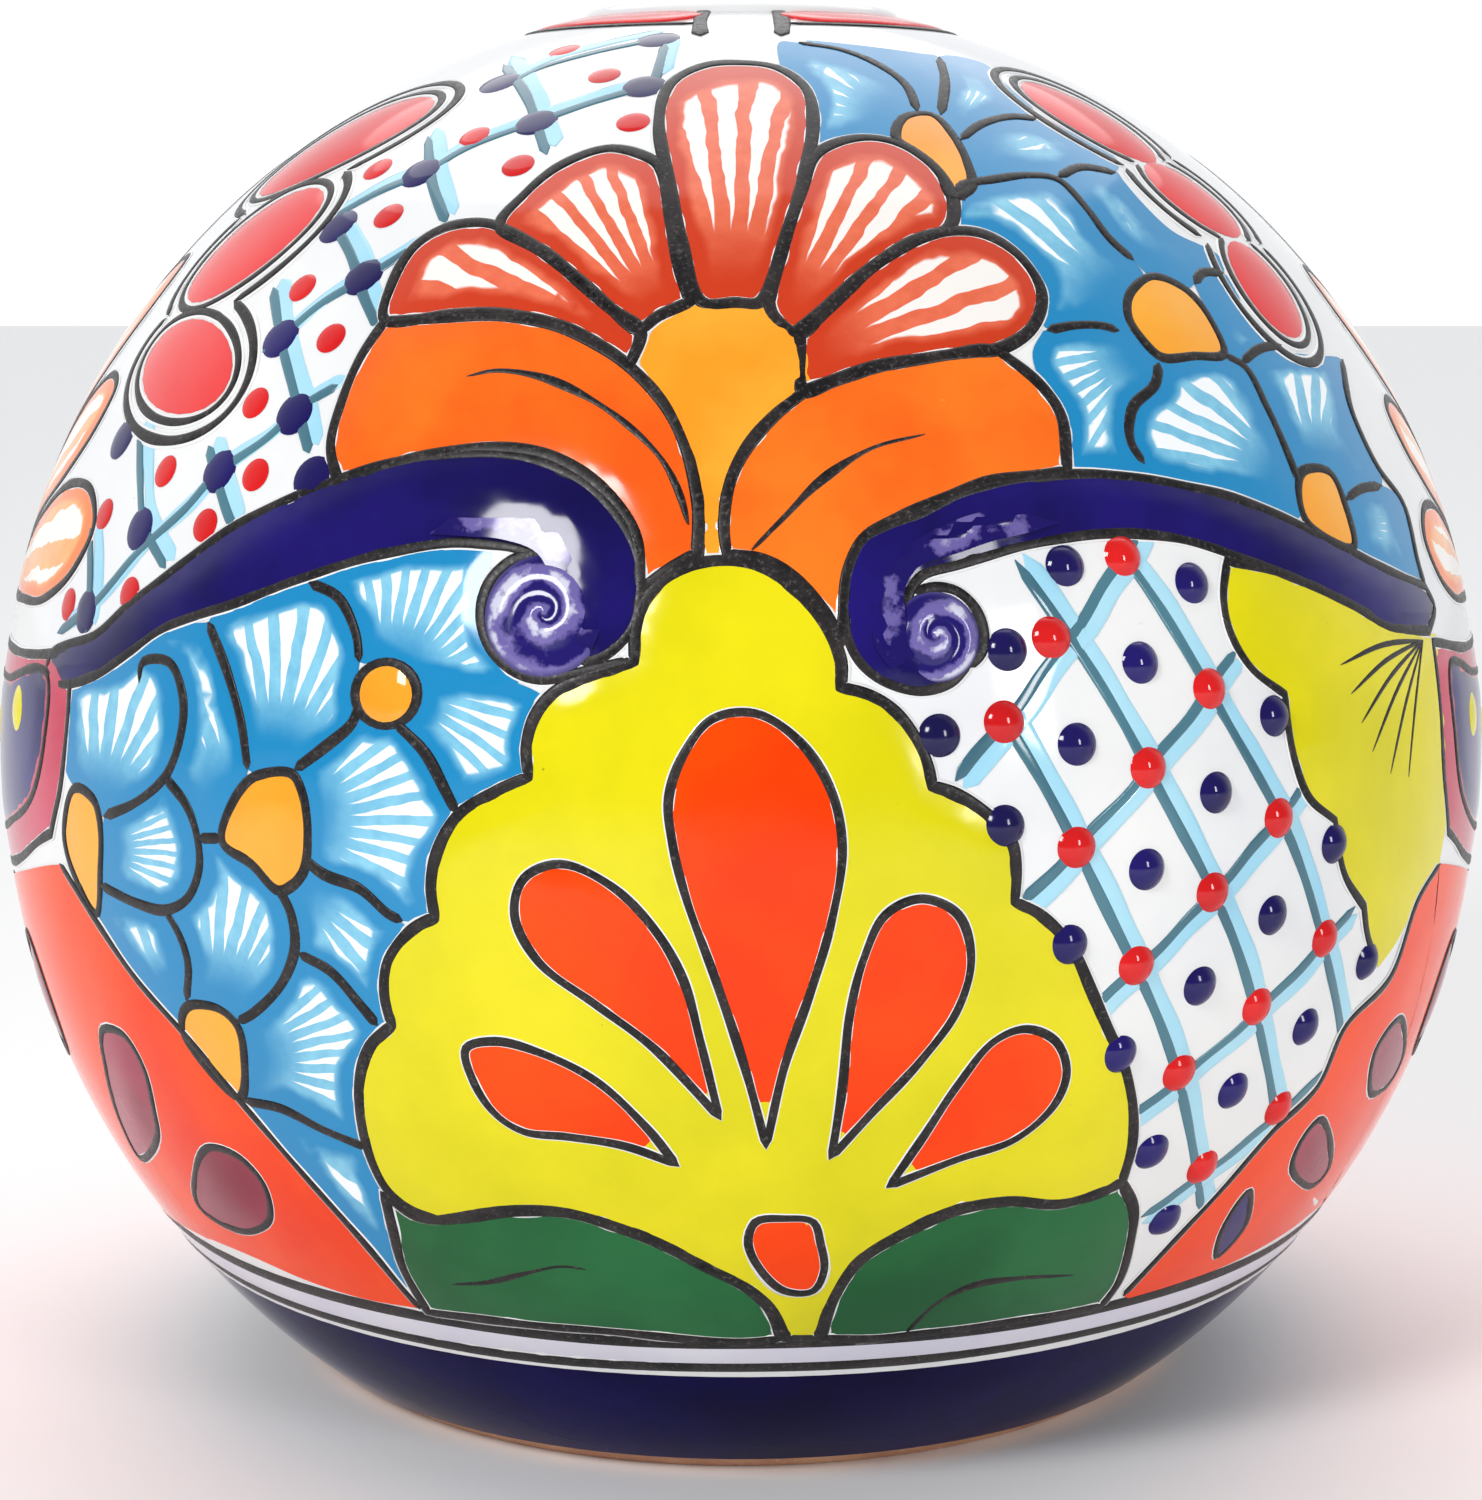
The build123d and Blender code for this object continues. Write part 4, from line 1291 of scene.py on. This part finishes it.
# The sides: a fan of orange petals between the garlands, over a cobalt medallion with a scalloped
# magenta border and lime spots.
petal_reach = {-3: 54.0, -2: 54.0, -1: 64.0, 0: 78.0, 1: 66.0, 2: 60.0, 3: 66.0}
petal_spread = 24.0  # degrees between petals
petal_root = np.array((0.0, 6.0))
petal_shape = ((0.20, 0.0), (0.35, -0.052), (0.60, -0.112), (0.80, -0.142), (0.94, -0.100), (1.0, 0.0),
               (0.94, 0.100), (0.80, 0.142), (0.60, 0.112), (0.35, 0.052))
orange_petal = petal_glaze("orange_petal_glaze", (0.90, 0.86, 0.80), (0.95, 0.42, 0.12), (0.94, 0.20, 0.03))
magenta = glaze("magenta_glaze", (0.62, 0.045, 0.11), (0.48, 0.020, 0.06))
medallion = joined(
    ((-60, 8), (-45, 4), (-25, 2), (0, 1), (30, 2), (50, 4), (68, 8)),
    ((68, 8), (69.5, -2), (68.5, -12), (65, -20)),
    ((65, -20), (48, -29), (30, -34), (0, -37), (-30, -34), (-46, -29), (-58, -22)),
    ((-58, -22), (-61, -12), (-61, -2), (-60, 8)),
)
inner_medallion = brush(
    ((-55, 3), (-40, -1), (-20, -4), (0, -5), (20, -4), (40, -2), (62, 3), (63, -8), (58, -17), (42, -25),
     (22, -30), (0, -31.5), (-22, -30), (-42, -25), (-53, -17), (-56, -8)), True
)
for side, turn in sides:
    petals = Coat(f"{side}_orange_petals", orange_petal, turn)
    rims = []
    for number, tall in petal_reach.items():
        angle = math.radians(number * petal_spread)
        along = np.array((math.sin(angle), math.cos(angle))) * tall
        beside = np.array((math.cos(angle), -math.sin(angle))) * tall
        outline = brush([petal_root + up * along + out * beside for up, out in petal_shape], True)
        petals.flood(outline, petal_root, rise=0.2)
        rims.append(outline)
    petals.finish_piece()
    heart = Coat(f"{side}_petal_heart", egg_yellow, turn)
    heart.dot((0.0, 9.0), 8.0, rise=0.5, stretch=0.8)
    heart.finish_piece()
    flooded(f"{side}_magenta_border", magenta, turn, [medallion], rise=0.2)
    flooded(f"{side}_cobalt_medallion", cobalt, turn, [inner_medallion], rise=0.25, bed=0.20)
    spots = Coat(f"{side}_lime_spots", lime, turn)
    for place in (-44, -22, 0, 24, 50):
        spots.dot((place, -15 + 0.004 * place * place), 4.5, rise=0.8)
    spots.finish_piece()
    lines = Coat(f"{side}_medallion_edge", outline_black, turn)
    lines.line(inner_medallion, 1.5, True, rise=0.42)
    lines.finish_piece()
    ink(f"{side}_petal", turn, shut(*rims, medallion), 1.6, 2.1)


# The base lines: two dark lines run round on the wheel over the cobalt band, with a pale violet
# band between them and a thin white one under the lower line.
pale_violet = glaze("pale_violet_glaze", (0.74, 0.73, 0.80), (0.64, 0.62, 0.74), (0.55, 0.52, 0.70))
between = Coat("base_violet_band", pale_violet)
between.belt(26.6, 30.4, 0.06)
between.finish_piece()
base_lines = Coat("base_lines", outline_black)
base_lines.belt(29.9, 32.2, 0.2)
base_lines.belt(25.0, 26.9, 0.2)
base_lines.finish_piece()
